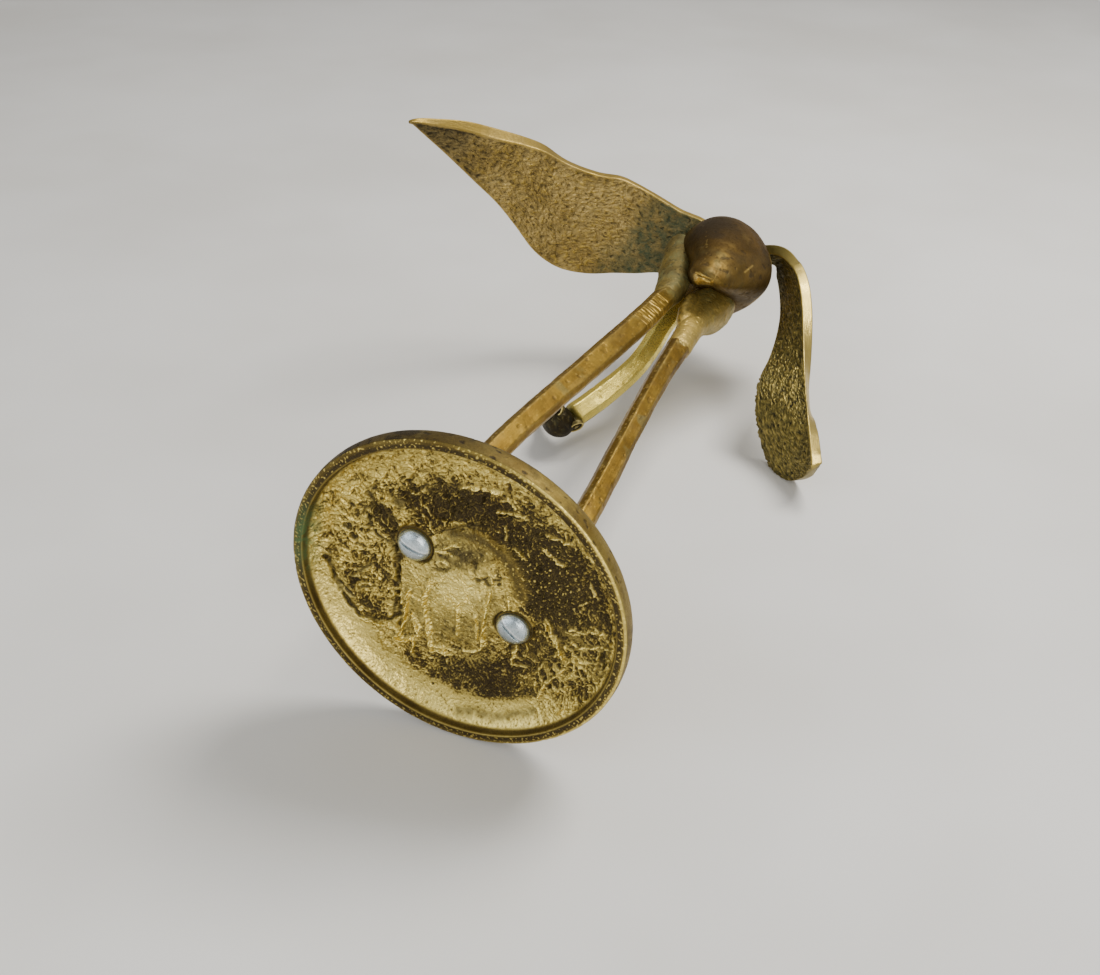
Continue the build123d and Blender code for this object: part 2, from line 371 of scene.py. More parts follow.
def brass(name, base, light, dark, polish, green, rough, metal, patch, grain, bump, dirt, edge,
          streak=None, green_all=0.0, polish_rough=0.24, high_metal=0.0):
    """Aged brass. Colours are sRGB, patch and grain are feature sizes in mm.
    dirt, edge: amounts of dark grain and of worn edges. green_all: verdigris everywhere.
    polish_rough, high_metal: roughness and extra metal on high spots.
    streak: scale, turn, size and relief of drawn lines."""
    g = Graph(name)
    coord = g.coord()
    pit, high, verdigris = g.mask()[:3]
    broad = g.noise(coord, patch * 1.6, detail=3.0)
    middle = g.noise(coord, patch * 0.35, detail=5.0, rough=0.6, distort=0.4)
    fine = g.noise(coord, grain, detail=6.0, rough=0.65)
    speck = g.noise(coord, grain * 0.45, detail=3.0, rough=0.7)
    # cast skin: two tones in broad patches, a half-dark mottle and dark grain
    colour = g.mix(g.ramp(broad, start=0.38, end=0.62), srgb(*base), srgb(*light))
    half_dark = srgb(*[(a + b) / 2 for a, b in zip(base, dark)])
    colour = g.mix(g.times(g.ramp(middle, start=0.45, end=0.72), 0.45), colour, half_dark)
    colour = g.mix(g.times(g.ramp(fine, start=0.5, end=0.75), dirt), colour, srgb(*dark))
    # edges worn bright where the mesh is sharply convex
    pointed = g.node("ShaderNodeNewGeometry").outputs["Pointiness"]
    worn = g.times(g.ramp(pointed, start=0.515, end=0.57), edge)
    worn = g.times(worn, g.ramp(middle, start=0.3, end=0.55, low=0.5, high=1.0))
    high = g.math("MAXIMUM", worn, high)
    colour = g.mix(high, colour, srgb(*polish))
    pit = g.times(pit, g.ramp(speck, start=0.25, end=0.6, low=0.8, high=1.0), clamp=True)
    colour = g.mix(pit, colour, srgb(*dark))
    # verdigris, broken up by the mottle and the grain
    verdigris = g.times(g.plus(verdigris, green_all),
                        g.ramp(middle, start=0.32, end=0.6, low=0.25, high=1.0), clamp=True)
    verdigris = g.times(verdigris, g.ramp(fine, start=0.3, end=0.6, low=0.55, high=1.0))
    colour = g.mix(verdigris, colour, srgb(*green))
    # pits and verdigris are rougher and less metallic, high spots smoother
    roughness = g.plus(g.ramp(fine, start=0.3, end=0.7, low=rough - 0.07, high=rough + 0.1),
                       g.times(pit, 0.25))
    roughness = g.plus(roughness, g.times(verdigris, 0.25))
    roughness = g.minus(roughness, g.times(high, max(rough - polish_rough, 0.0)), clamp=True)
    metallic = g.minus(metal, g.times(pit, 0.35))
    metallic = g.minus(metallic, g.times(verdigris, 0.6), clamp=True)
    metallic = g.plus(metallic, g.times(high, high_metal), clamp=True)
    height = g.plus(g.times(fine, 0.6), g.times(speck, 0.4))
    if streak:
        lines = g.streaks(coord, streak["scale"], streak["turn"], streak["size"])
        height = g.plus(height, g.times(lines, streak["relief"]))
        roughness = g.plus(roughness, g.times(g.minus(lines, 0.5), 0.18), clamp=True)
    normal = g.node("ShaderNodeBump", Strength=bump, Distance=0.0004, Height=height).outputs[0]
    return g.finish(g.node("ShaderNodeBsdfPrincipled", Base_Color=colour, Metallic=metallic,
                           Roughness=roughness, Normal=normal))


def zinc(name):
    """Bright plating, with a lighter tone on the slot's turned-up lip."""
    g = Graph(name)
    coord = g.coord()
    dark, bright = g.mask()[:2]
    broad = g.noise(coord, 3.0, detail=4.0)
    fine = g.noise(coord, 0.5, detail=6.0, rough=0.65)
    lines = g.streaks(coord, scale=(0.15, 1.0, 1.0), turn=(0, 0, 0.2), size=0.3)
    colour = g.mix(g.ramp(broad, start=0.35, end=0.65), srgb(176, 190, 196), srgb(206, 216, 220))
    grime = g.times(g.ramp(fine, start=0.52, end=0.75), 0.4)
    colour = g.mix(grime, colour, srgb(128, 134, 132))
    colour = g.mix(dark, colour, srgb(40, 38, 30))
    colour = g.mix(bright, colour, srgb(232, 238, 242))
    roughness = g.plus(g.ramp(fine, start=0.3, end=0.7, low=0.2, high=0.34),
                       g.times(dark, 0.3), clamp=True)
    normal = g.node("ShaderNodeBump", Strength=0.18, Distance=0.0003,
                    Height=g.plus(fine, lines)).outputs[0]
    return g.finish(g.node("ShaderNodeBsdfPrincipled", Base_Color=colour, Metallic=0.95,
                           Roughness=roughness, Normal=normal))


# finishes: a material and a slot name
BASE_BRASS = brass(
    "base cast brass", base=(154, 127, 50), light=(188, 162, 76), dark=(38, 28, 11),
    polish=(240, 218, 124), green=(74, 104, 58), rough=0.40, metal=0.97, patch=10, grain=0.6,
    bump=0.30, dirt=0.32, edge=0.30), "base_brass"
LEG_BRASS = brass(
    "leg filed brass", base=(120, 93, 33), light=(144, 116, 44), dark=(70, 52, 18),
    polish=(226, 192, 104), green=(92, 100, 60), rough=0.40, metal=0.96, patch=14, grain=1.1,
    bump=0.14, dirt=0.28, edge=0.45,
    streak=dict(scale=(1.0, 1.0, 0.05), turn=(0, 0, 0), size=0.5, relief=0.5)), "leg_brass"
PATINA = brass(
    "thigh patina brass", base=(132, 114, 54), light=(160, 138, 70), dark=(58, 50, 28),
    polish=(234, 200, 104), green=(104, 108, 66), rough=0.46, metal=0.74, patch=7, grain=0.8,
    bump=0.22, green_all=0.10, dirt=0.28, edge=0.3, polish_rough=0.42), "patina_brass"
BODY_BRASS = brass(
    "body brown brass", base=(72, 54, 20), light=(94, 71, 29), dark=(38, 28, 11),
    polish=(226, 192, 104), green=(96, 100, 62), rough=0.58, metal=0.94, patch=12, grain=1.0,
    bump=0.18, dirt=0.38, edge=0.2,
    streak=dict(scale=(1.0, 0.2, 0.2), turn=(0.5, 0, 0.3), size=0.6, relief=0.5)), "body_brass"
NECK_BRASS = brass(
    "neck brass", base=(184, 162, 62), light=(208, 186, 84), dark=(104, 88, 38),
    polish=(248, 230, 128), green=(112, 120, 76), rough=0.36, metal=0.72, patch=9, grain=0.8,
    bump=0.18, dirt=0.22, edge=0.5,
    streak=dict(scale=(1.0, 1.0, 0.08), turn=(0, 0, 0), size=0.4, relief=0.6)), "neck_brass"
# dark brown all over: painted shade for the shadow the head lies in
HEAD_BRASS = brass(
    "head brass in painted shade", base=(46, 37, 13), light=(60, 49, 19), dark=(20, 16, 6),
    polish=(214, 194, 120), green=(70, 78, 50), rough=0.42, metal=0.85, patch=5, grain=0.7,
    bump=0.12, dirt=0.40, edge=0.15), "head_brass"
WING_BRASS = brass(
    "wing cast brass", base=(154, 131, 75), light=(184, 160, 100), dark=(50, 42, 20),
    polish=(178, 149, 60), green=(52, 74, 52), rough=0.44, metal=0.84, patch=9, grain=0.6,
    bump=0.30, dirt=0.32, edge=0.3, polish_rough=0.38, high_metal=0.15), "wing_brass"
OLIVE_BRASS = brass(
    "wing dark olive brass", base=(100, 90, 44), light=(122, 110, 56), dark=(34, 32, 14),
    polish=(214, 188, 104), green=(70, 78, 46), rough=0.46, metal=0.84, patch=9, grain=0.6,
    bump=0.30, dirt=0.36, edge=0.25), "wing_brass"
ZINC = zinc("screw bright zinc"), "screw_zinc"

# ================================================================ base casting
# the base's outline in four runs of (radius, z), from the middle of the bowl out and over
UNDER = [(0, 5.2), (8, 5.6), (15, 7.0), (24, 8.6), (32, 8.0), (40, 6.2), (44, 4.2), (46.2, 2.2),
         (46.7, 0.7)]
FOOT = [(46.7, 0.7), (46.85, 0.25), (47.1, 0.06), (47.4, 0.0), (49.1, 0.0), (49.35, 0.06),
        (49.6, 0.25)]
WALL = [(49.6, 0.25), (49.85, 0.7), (50.0, 3.0), (49.6, 5.4), (48.3, 7.2)]
CROWN = [(48.3, 7.2), (45, 8.5), (36, 10.5), (24, 12.3), (12, 13.2), (0, 13.5)]

# marks of the sand casting on the bowl, in plan: (line of x, y; depth; width)
CRACKS = [
    ([(-33.0, 3.0), (-30.3, 6.2), (-27.9, 7.5), (-25.0, 7.5), (-23.2, 7.1)], 0.8, 0.7),
    ([(-30.7, -11.7), (-28.2, -10.9), (-25.5, -9.1), (-24.6, -9.0)], 0.7, 0.55),
    ([(-28.2, -10.9), (-27.5, -14.4), (-26.0, -17.1), (-24.0, -21.0), (-22.0, -22.8)], 0.7, 0.55),
    ([(-22.4, 6.2), (-19.7, 9.4), (-17.5, 11.6), (-15.0, 15.8), (-11.7, 21.7), (-8.3, 26.6)],
     1.3, 1.1),
    ([(-35.1, 24.4), (-32.7, 25.7), (-28.3, 29.7), (-24.2, 30.9), (-21.1, 31.6)], 0.7, 0.7),
    ([(-25.6, 26.9), (-24.8, 22.3), (-23.6, 17.7)], 0.5, 0.8),
    ([(-10.1, 1.3), (-8.5, 0.5), (-6.9, -1.5)], 0.5, 0.5),
    ([(-23.9, 32.8), (-19.8, 34.7), (-16.3, 35.5), (-12.7, 34.2), (-9.2, 30.5), (-8.2, 27.2)],
     0.9, 0.8),
    ([(-4.1, 33.2), (-1.2, 29.4)], 0.5, 0.6),
    ([(-12.4, -11.7), (-10.8, -17.1), (-7.2, -20.7), (-4.7, -21.4)], 0.6, 0.8),
    ([(23.4, 37.2), (26.4, 34.6), (32.3, 29.5), (35.8, 23.8), (38.3, 18.1)], 0.4, 1.5),
    ([(40.3, -15.3), (43.0, -11.6)], 1.0, 0.9),
    ([(-36.5, -4.0), (-33.0, -1.0), (-31.0, 0.5)], 0.9, 0.9),
]
# (line of x, y; height; width)
RIDGES = [
    ([(-6.8, -27.6), (-3.8, -30.6), (-1.0, -32.6), (0.1, -32.2)], 0.7, 0.5),
    ([(-2.6, -25.1), (-0.4, -22.5)], 0.6, 0.45), ([(3.2, -21.5), (6.7, -21.4)], 0.7, 0.5),
    ([(8.3, -28.1), (12.4, -28.3), (15.5, -28.6)], 0.8, 0.5),
    ([(6.8, -33.3), (9.5, -35.3), (12.6, -37.3)], 0.8, 0.5),
    ([(-7.6, -34.5), (-4.1, -33.0)], 0.6, 0.5),
    ([(-10.8, 15.1), (-7.1, 23.2), (-5.0, 28.9), (-4.0, 32.3)], 0.9, 0.55),
    ([(-4.8, 22.8), (-1.6, 25.2), (0.1, 27.0)], 0.7, 0.5),
    ([(-6.9, 10.4), (-2.1, 18.1), (1.4, 22.1), (4.4, 26.8)], 0.8, 0.5),
    ([(4.0, 28.0), (7.5, 26.0), (10.4, 23.7), (11.5, 24.1)], 0.7, 0.5),
    ([(-4.6, 34.5), (-1.7, 32.1), (-0.3, 29.5), (2.4, 34.2)], 0.7, 0.5),
    ([(22.4, -9.5), (27.3, -7.2), (31.1, -4.9), (36.2, -2.0)], 0.9, 0.5),
    ([(36.2, -2.0), (36.0, 3.9), (35.4, 8.2), (36.6, 13.1)], 0.8, 0.55),
    ([(22.4, 5.8), (24.3, 10.9)], 0.7, 0.5), ([(7.3, -2.0), (12.2, 7.5), (15.6, 13.3)], 0.7, 0.55),
    ([(-5.1, 13.4), (-7.0, 9.6), (-8.0, 6.0)], 0.6, 0.5),
    ([(-15.9, 36.3), (-11.3, 34.4), (-7.4, 32.1), (-5.3, 32.0)], 0.8, 0.6),
    ([(29.0, -13.0), (31.5, -14.5), (33.0, -18.0), (35.4, -21.2)], 0.6, 0.45),
    ([(31.0, -9.0), (34.0, -11.0), (37.0, -15.0), (39.0, -19.5)], 0.6, 0.45),
    ([(35.0, -7.0), (38.5, -8.5), (41.0, -13.0)], 0.6, 0.45),
    ([(-18.6, -26.0), (-14.0, -31.0), (-8.0, -35.5)], 0.6, 0.6),
]
# (x, y, size)
PITS = [
    (-2.2, -10.0, 1.1), (1.1, -6.5, 1.3), (4.4, -7.6, 1.2), (6.8, -9.8, 1.0), (-10.0, -5.6, 1.3),
    (-9.2, -5.7, 0.9), (-31.4, -0.5, 1.9), (-29.3, 0.6, 1.5), (-35.2, 11.2, 1.8),
    (-32.0, 13.0, 1.2), (-34.0, 24.3, 1.2), (40.3, -15.3, 1.4), (-23.8, 2.5, 1.2),
    (-2.5, -9.6, 0.8), (3.5, -7.7, 0.9), (12.7, 37.8, 0.8), (20.0, 30.0, 0.9), (-14.0, 2.0, 0.8),
    (-38.0, 3.0, 1.2), (-36.0, -6.5, 1.4), (-30.0, -16.0, 1.2), (-20.0, -20.0, 1.6),
    (-14.5, -22.5, 1.3), (-12.0, -27.5, 1.2)]
# darker patches of the casting's skin: (x, y, radius, strength). The strong patches on the -y
# side, round (12, -20), are painted shade.
TONE = [
    (-31.0, 0.0, 3.4, 0.75), (-26.5, 3.0, 2.6, 0.7), (-27.4, -11.7, 4.6, 0.55),
    (-20.4, -10.9, 5.5, 0.62), (-19.8, -21.0, 6.0, 0.58), (-14.5, -17.5, 5.0, 0.6),
    (-15.5, -26.5, 5.0, 0.5), (-9.4, -25.6, 6.5, 0.7), (-2.2, -34.0, 6.5, 0.45),
    (7.5, -34.5, 6.0, 0.50), (1.5, -24.5, 7.0, 0.82), (11.8, -24.3, 9.0, 0.86),
    (21.5, -21.4, 9.0, 0.84), (26.0, -11.6, 8.0, 0.8), (34.0, -13.0, 5.5, 0.6),
    (16.5, -14.5, 6.5, 0.85), (16.0, -34.0, 6.0, 0.5), (25.0, -33.0, 6.5, 0.6),
    (33.0, -26.0, 6.5, 0.55), (39.5, -17.0, 4.5, 0.4), (-27.1, 26.0, 4.2, 0.5),
    (-21.4, 31.5, 4.0, 0.5), (-14.0, 31.0, 4.5, 0.55), (-17.0, 20.0, 5.0, 0.42),
    (-24.0, 16.0, 5.0, 0.35), (-34.0, 18.0, 4.0, 0.3), (-30.0, 11.0, 4.5, 0.3),
    (3.4, 37.0, 5.5, 0.4), (12.6, 32.0, 7.5, 0.40), (22.3, 23.0, 9.5, 0.46),
    (27.8, 12.0, 8.0, 0.50), (27.7, 2.0, 6.5, 0.66), (36.0, 4.0, 6.0, 0.62),
    (42.0, -4.0, 4.5, 0.50), (-34.0, -8.0, 4.0, 0.3), (16.0, 38.0, 5.0, 0.4),
    (31.0, 25.0, 6.0, 0.6), (35.0, 17.0, 5.0, 0.5), (-37.0, 5.0, 3.5, 0.25)]
# where a mesh of fine cracks lies: (x, y, radius)
CRACK_NET = [(-20.0, -18.0, 11.0), (-27.0, -9.0, 6.0), (-8.0, -27.0, 7.0)]

# marks on the bowl given on the view plane: (right, down)
BROWN_BAND = [(-24.5, 11.375), (-20.5, 11.875), (-16.5, 13.5), (-12.75, 16.125),
              (-9.75, 19.625), (-8, 23.625), (-7.25, 27.375)]
# (line, half width on the view plane, depth, darkness): dark creases and pits; the second stroke
# is a painted shadow below the left screw, the third painted shade in the hollow beside it
SEEN_DARK = [
    ([(-39, 15.375), (-38.1, 20.125), (-38.5, 24.875), (-39, 31.125)], 0.575, 0.50, 0.78),
    ([(-39.5, 11.375), (-38.75, 14.875), (-37.5, 17.375)], 1.05, 0.40, 0.85),
    ([(-27.75, 17.125), (-25.25, 16.25), (-23, 15.5)], 0.85, 0.60, 0.86),
    ([(-28.875, 18.875), (-28.25, 20.25), (-26.5, 20.875), (-25, 20.125)], 0.4, 0.40, 0.8),
    ([(-29.5, 20.625), (-26, 21.25)], 0.35, 0.30, 0.6),
    ([(-19.25, 17.375), (-18.625, 20.125)], 0.8, 0.45, 0.75),
    ([(-18.25, 16), (-16.875, 17.125)], 0.65, 0.40, 0.75),
    ([(-23.625, 19.75), (-22.75, 20.125)], 0.35, 0.3, 0.6),
    ([(-21.875, 20.375), (-21.125, 20.625)], 0.325, 0.3, 0.6),
    ([(-19, 21.125), (-18.75, 21.75)], 0.4, 0.3, 0.7),
    ([(-18, 23.5), (-15.5, 23), (-12.75, 23.375)], 0.475, 0.45, 0.85),
    ([(-13.375, 20.875), (-12.5, 22.875)], 0.575, 0.40, 0.8),
    ([(-30.5, 12), (-27.5, 11.125), (-23.75, 10.375), (-20.5, 10.375)], 0.375, 0.40, 0.8),
    ([(-23.75, 8.625), (-20, 9.875), (-16.5, 10.875)], 0.425, 0.40, 0.8),
    ([(-26.5, 32.875), (-25.5, 33.625)], 0.4, 0.3, 0.75),
    ([(-11.75, 27.125), (-11.375, 29.625)], 0.35, 0.3, 0.6),
    ([(-7.75, 26.125), (-6.5, 28.625)], 0.5, 0.3, 0.6),
    ([(-19, 28.625), (-18, 30.375)], 1.5, 0.05, 0.34),
    ([(-14.25, 28.125), (-13.5, 30.875)], 1.5, 0.05, 0.42),
    ([(-32.75, 28.125), (-33.25, 32.125)], 1, 0.05, 0.32),
    ([(-27.75, 13.125), (-24.5, 12.625), (-22, 13.875)], 1, 0.0, 0.45),
    ([(-36.5, 33.625), (-34.5, 35.625)], 0.9, 0.1, 0.40),
    ([(-28.5, 35.125), (-27.25, 38.125)], 1.25, 0.05, 0.30),
    ([(-21, 33.625), (-20.5, 38.125)], 1, 0.05, 0.32),
    ([(-36.25, 21.875), (-34.5, 21.625)], 0.55, 0.1, 0.35),
    ([(-42.5, 4.625), (-41, 6.125), (-39.5, 8.125), (-38.5, 9.875)], 0.85, 0.4, 0.8),
    ([(-46, 4.875), (-44.5, 4.625), (-43.5, 6.125), (-44.75, 7.625), (-45.75, 6.125)],
     0.45, 0.4, 0.85),
    ([(-37, 1.125), (-35.25, 2.625), (-32.75, 1.625), (-30.5, 2.375)], 0.375, 0.4, 0.7),
    ([(-55, 18.125), (-54, 21.625), (-52.5, 25.125), (-50, 28.125), (-48, 31.125)],
     0.5, 0.4, 0.55),
    ([(-52.5, 25.625), (-49.5, 24.375), (-48.25, 22.625)], 0.4, 0.4, 0.55),
]
# (line, half width on the view plane, height)
SEEN_RIDGES = [
    ([(-34.875, 25.375), (-35.5, 29.625), (-37, 35.625)], 0.375, 0.60),
    ([(-34.375, 31.625), (-33.75, 34.125), (-33.05, 36.875)], 0.3, 0.50),
    ([(-30.125, 25.125), (-30.75, 28.125), (-30.875, 30.625), (-30.625, 33.625),
      (-30.05, 39.375)], 0.4, 0.75),
    ([(-22.925, 28.875), (-23.125, 36.875)], 0.35, 0.40),
    ([(-18.55, 32.125), (-18.25, 37.625)], 0.325, 0.40),
    ([(-14.875, 26.125), (-15.875, 30.625), (-16.875, 36.125), (-16.925, 40.125)], 0.4, 0.70),
    ([(-10.5, 27.375), (-10.25, 30.875)], 0.275, 0.40),
    ([(-38.5, 37.125), (-36, 38.25), (-34.1, 38.125), (-34.175, 40.625)], 0.325, 0.50),
    ([(-37.8, 24.375), (-37.25, 28.125), (-37.125, 29.875)], 0.275, 0.35),
    ([(-26.5, 15.5), (-24.5, 14.625), (-22.5, 14.75)], 0.3, 0.40),
    ([(-30, 40.625), (-27.5, 41.125), (-24.5, 41.625)], 0.325, 0.50),
    ([(-28.5, 19.125), (-27, 18.375), (-25.75, 19.375)], 0.275, 0.40),
    ([(-14.75, 22.875), (-14.25, 23.875)], 0.25, 0.4),
    ([(-21.5, 40.625), (-19.5, 41.125), (-17.5, 40.375)], 0.3, 0.4),
    ([(-9, 40.625), (-9.75, 44.125)], 0.25, 0.4),
    ([(-1.25, 33.625), (0.5, 37.125), (2.5, 40.625), (3.25, 42.125)], 0.325, 0.6),
]


def wander(plan, coarse, fine, seed):
    """Noisy shifts in two directions. coarse and fine are (amount, size)."""
    return [coarse[0] * noise(plan, coarse[1], s) + fine[0] * noise(plan, fine[1], s + 1)
            for s in (seed, seed + 2)]


def bowl(grid):
    """The bowl's rough underside. Returns push, dark, bright, green, like the runs after it."""
    x, y, z = axes(grid)
    plan = points(x, y, 0)
    radius = np.hypot(x, y)
    bearing = np.degrees(np.arctan2(y, x))
    shift_x, shift_y = wander(plan, (1.5, 7.0), (0.55, 2.1), 1)
    warped = plan + points(shift_x, shift_y, 0)
    shift_x, shift_y = wander(plan, (0.45, 2.4), (0.2, 0.9), 5)
    mark_at = mark_x, mark_y = x + shift_x, y + shift_y
    shift_x, shift_y = wander(plan, (0.275, 2.4), (0.125, 0.9), 5)
    right, down = in_view(grid)
    view = right, down = right + shift_x, down + shift_y

    # zones: smooth outer band, middle mound, dark tone (partly painted shade), fine grain, beaded
    # ground, brown band
    band = (ease(radius + 1.2 * noise(plan, 6, 9), 36.5, 40.0) * ease(bearing, 2, 30)
            * fall(bearing, 128, 150))
    mound = fall(np.hypot(x + 1.0, (y - 4.0) / 1.15) + 1.2 * noise(plan, 5, 10), 14.5, 19.0)
    lightness = np.ones_like(x)
    edge = 1 + 0.35 * noise(plan, 5.0, 11)
    for at_x, at_y, size, strength in TONE:
        away = (mark_x - at_x) ** 2 + (mark_y - at_y) ** 2
        lightness *= 1 - strength * np.exp(-away / (size * size) * edge)
    tone = clamp((1 - lightness) * (1 - 0.95 * band) * (1 - 0.9 * mound))
    fine_zone = clamp(1.15 * spot(x, y, (19, 24), (150, 150)))
    bead_zone = spot(x, y, (13, -21), (260, 150))
    brown = stroke(view, BROWN_BAND, 1.75)
    rough = clamp(1 - 0.85 * band - 0.45 * mound - 0.6 * fine_zone) * (1 - 0.85 * brown)

    # winding relief and grain
    grain = cloud(plan, 0.8, 22, octaves=2)
    grit = noise(plan, 0.42, 23)
    relief = (0.46 * (winding(warped, 3.0, 20, 1.3) - 0.35)
              + 0.40 * (winding(warped, 1.5, 21, 1.3) - 0.35)
              + 0.18 * (winding(warped, (1.0, 2.6, 1.0), 26, 1.2) - 0.35))
    push = (0.40 * cloud(plan, 11, 24) + rough * relief + (0.08 + 0.13 * rough) * grain
            + 0.05 * grit + 0.55 * brown + 0.30 * bell(radius - 38.5, 1.6) * (1 - band))

    # sunk marks
    pits = (patch(warped, 1.9, 30, 0.20, 0.44) * (0.12 + 0.75 * tone) * (1 - 0.9 * band)
            * (1 - 0.8 * fine_zone))
    pits = clamp(pits * (1 - 0.75 * brown))
    for at_x, at_y, size in PITS:
        away = np.hypot(mark_x - at_x, mark_y - at_y) / (0.8 * size)
        pits = np.maximum(pits, 0.9 * fall(away, 0.4, 1.25))
    push -= 0.55 * pits
    crack = np.zeros_like(push)
    breaks = clamp(0.9 + 0.35 * noise(plan, 2.6, 40), 0.5, 1.1)
    for line, depth, width in CRACKS:
        e = stroke(mark_at, line, 0.8 * width) * breaks * (0.5 + 0.5 * ease(depth, 0.4, 0.6))
        push -= depth * e
        crack = np.maximum(crack, clamp(e * 1.05))
    net = np.zeros_like(push)
    for at_x, at_y, size in CRACK_NET:
        net = np.maximum(net, spot(x, y, (at_x, at_y), (size * size, size * size)))
    net = winding(warped, 5.2, 44, narrow=6.5) * net * (1 - mound)
    push -= 0.5 * net
    crack = np.maximum(crack, 0.9 * net)

    # raised marks, each ridge with a darker foot beside it
    ridge = np.zeros_like(push)
    shade = np.zeros_like(push)
    seen_dark = np.zeros_like(push)

    def foot_of(e, width, near, spread):
        """The bell of the distance, moved out to near x width. e is a stroke of unit height."""
        away = np.sqrt(-np.log(np.maximum(e, 1e-300)))
        return bell(away - near, spread)

    breaks = clamp(0.85 + 0.8 * noise(plan, 1.4, 41), 0.15, 1.3)
    foot_breaks = clamp(0.55 + 0.8 * noise(plan, 1.8, 48))
    for line, height, width in RIDGES:
        plain = stroke(mark_at, line, 0.85 * width)
        e = plain * breaks
        push += height * e
        ridge = np.maximum(ridge, clamp(1.1 * e))
        foot = foot_of(plain, width, 2.2 / 0.85, 0.9 / 0.85)
        shade = np.maximum(shade, foot * foot_breaks)
    breaks = clamp(0.95 + 0.35 * noise(plan, 1.3, 55), 0.5, 1.2)
    for line, width, depth, darkness in SEEN_DARK:
        e = stroke(view, line, width) * breaks
        push -= 0.8 * depth * e
        seen_dark = np.maximum(seen_dark, darkness * e)
    breaks = clamp(0.95 + 0.35 * noise(plan, 2.0, 56), 0.4, 1.2)
    foot_breaks = clamp(0.6 + 0.5 * noise(plan, 1.8, 57))
    for line, width, height in SEEN_RIDGES:
        plain = stroke(view, line, width)
        e = plain * breaks
        push += 1.5 * height * e
        ridge = np.maximum(ridge, clamp(1.2 * e))
        shade = np.maximum(shade, foot_of(plain, width, 2.1, 0.9) * foot_breaks)
    # metal that ran in threads over the +x side
    thread = (winding(warped, (3.6, 2.6, 1.0), 45, narrow=5.0)
              * spot(x, y, (37, -2), (60, 260)))
    push += 0.45 * thread
    ridge = np.maximum(ridge, 0.85 * thread)

    # scattered short scars in all directions, raised or sunk, none on the smooth band
    random = np.random.default_rng(7)
    for _ in range(80):
        turn = random.uniform(0, TAU)
        out = 44 * math.sqrt(random.uniform(0.03, 1))
        at_x, at_y = out * math.cos(turn), out * math.sin(turn)
        slant = random.uniform(0, math.pi)
        reach = random.uniform(0.8, 2.6)
        width = random.uniform(0.22, 0.42)
        raised = random.uniform() < 0.62
        if out > 35 and math.degrees(turn) < 135:
            continue
        near = np.hypot(x - at_x, y - at_y) < 4.5
        dx, dy = reach * math.cos(slant), reach * math.sin(slant)
        line = [(at_x - dx, at_y - dy), (at_x + dx, at_y + dy)]
        e = stroke((mark_x[near], mark_y[near]), line, width)
        if raised:
            push[near] += 0.36 * e
            ridge[near] = np.maximum(ridge[near], 0.8 * e)
        else:
            push[near] -= 0.38 * e
            crack[near] = np.maximum(crack[near], 0.75 * e)
    # beads of metal that ran into the sand
    beads = ease(noise(plan, 0.8, 43), 0.42, 0.7) * (0.25 + 0.75 * bead_zone) * (1 - band)
    push += 0.22 * beads
    # calm the very centre, and the approach to the foot ring
    push *= 0.15 + 0.85 * ease(radius, 0.0, 1.0) * fall(radius, 45.3, 46.6)

    # the skin is dark where it lies low, by an amount that follows the tone, painted shade
    # included
    level = (0.50 + 0.90 * rough * relief + (0.34 + 0.30 * fine_zone) * grain + 0.20 * grit
             + 0.12 * noise(plan, 3.2, 46))
    dark = (ease(0.19 + 1.02 * tone - level, -0.28, 0.34)
            * clamp(0.90 + 0.35 * grain, 0.6, 1.0))
    dark = clamp(dark + (0.22 + 0.25 * grain) * fine_zone * (1 - band))
    dark = np.maximum(dark, 0.95 * pits)
    dark = np.maximum(dark, 0.92 * crack)
    dark = np.maximum(dark * (1 - 0.8 * brown),
                      0.66 * brown * clamp(0.95 + 0.25 * grain, 0, 1.1))
    dark = np.maximum(dark, seen_dark)
    dark = np.maximum(dark, 0.16 * mound * patch(plan, 4, 47, 0.0, 0.4))
    dark = np.maximum(dark, 0.55 * shade * (1 - band))
    dark = np.maximum(dark, 0.40 * mound * patch(plan, (2.6, 2.6, 1), 49, 0.10, 0.45))
    # the crown of the mound and the ground between its ridges are brown
    crown_zone = spot(right, down, (-22, 17.125), (56.25, 14.0625))
    low_zone = spot(right, down, (-25, 35.625), (169, 25))
    dark = np.maximum(dark, clamp(crown_zone * (0.76 + 0.7 * cloud(plan, 2.6, 58))
                                  + low_zone * (0.34 + 0.7 * cloud(plan, 2.0, 59)), 0, 0.8))
    relit = (1 - 0.7 * beads)
    dark = dark * (1 - 0.9 * ridge) * relit
    dark = 1 - (1 - clamp(dark)) ** 1.9
    dark = dark * (1 - 0.8 * ridge) * relit
    bright = (0.55 * ease(level - tone, 0.10, 0.55) * (1 - 0.5 * bead_zone) + 0.8 * ridge
              + 0.6 * beads + 0.30 * band * (0.8 + 0.6 * grain))
    bright += 0.22 * mound * (1 - dark) * clamp(0.8 + 0.8 * grain, 0, 1.5)
    # a painted highlight on the mound, placed where it is seen from the camera
    mound_highlight = spot(right, down, (-23.5, 26.625), (30.25, 18.0625)) * (1 - seen_dark)
    bright += 1.35 * mound_highlight * clamp(0.9 + 0.5 * grain, 0, 1.2)
    dark *= 1 - 0.78 * mound_highlight

    # flat seats for the screws, with painted shade in the crevice round each head
    for side in (-1, 1):
        away = np.hypot(x - side * LEG_X, y)
        push += fall(away, 5.45, 6.3) * (z - push - SCREW_Z)
        crevice_shade = bell(away - 5.4, 0.6)
        dark = np.maximum(dark, 0.95 * crevice_shade)
        bright *= 1 - crevice_shade
    green = 0.9 * bell(bearing - 155, 14) * ease(radius, 42.5, 46.5)
    bright += 0.5 * bell(bearing - 150, 10) * bell(radius - 44.5, 1.6)
    inner = ease(radius, 45.7, 46.5)
    dark = np.maximum(dark * (1 - inner), inner * 0.85)
    return push, dark, bright * (1 - inner), green


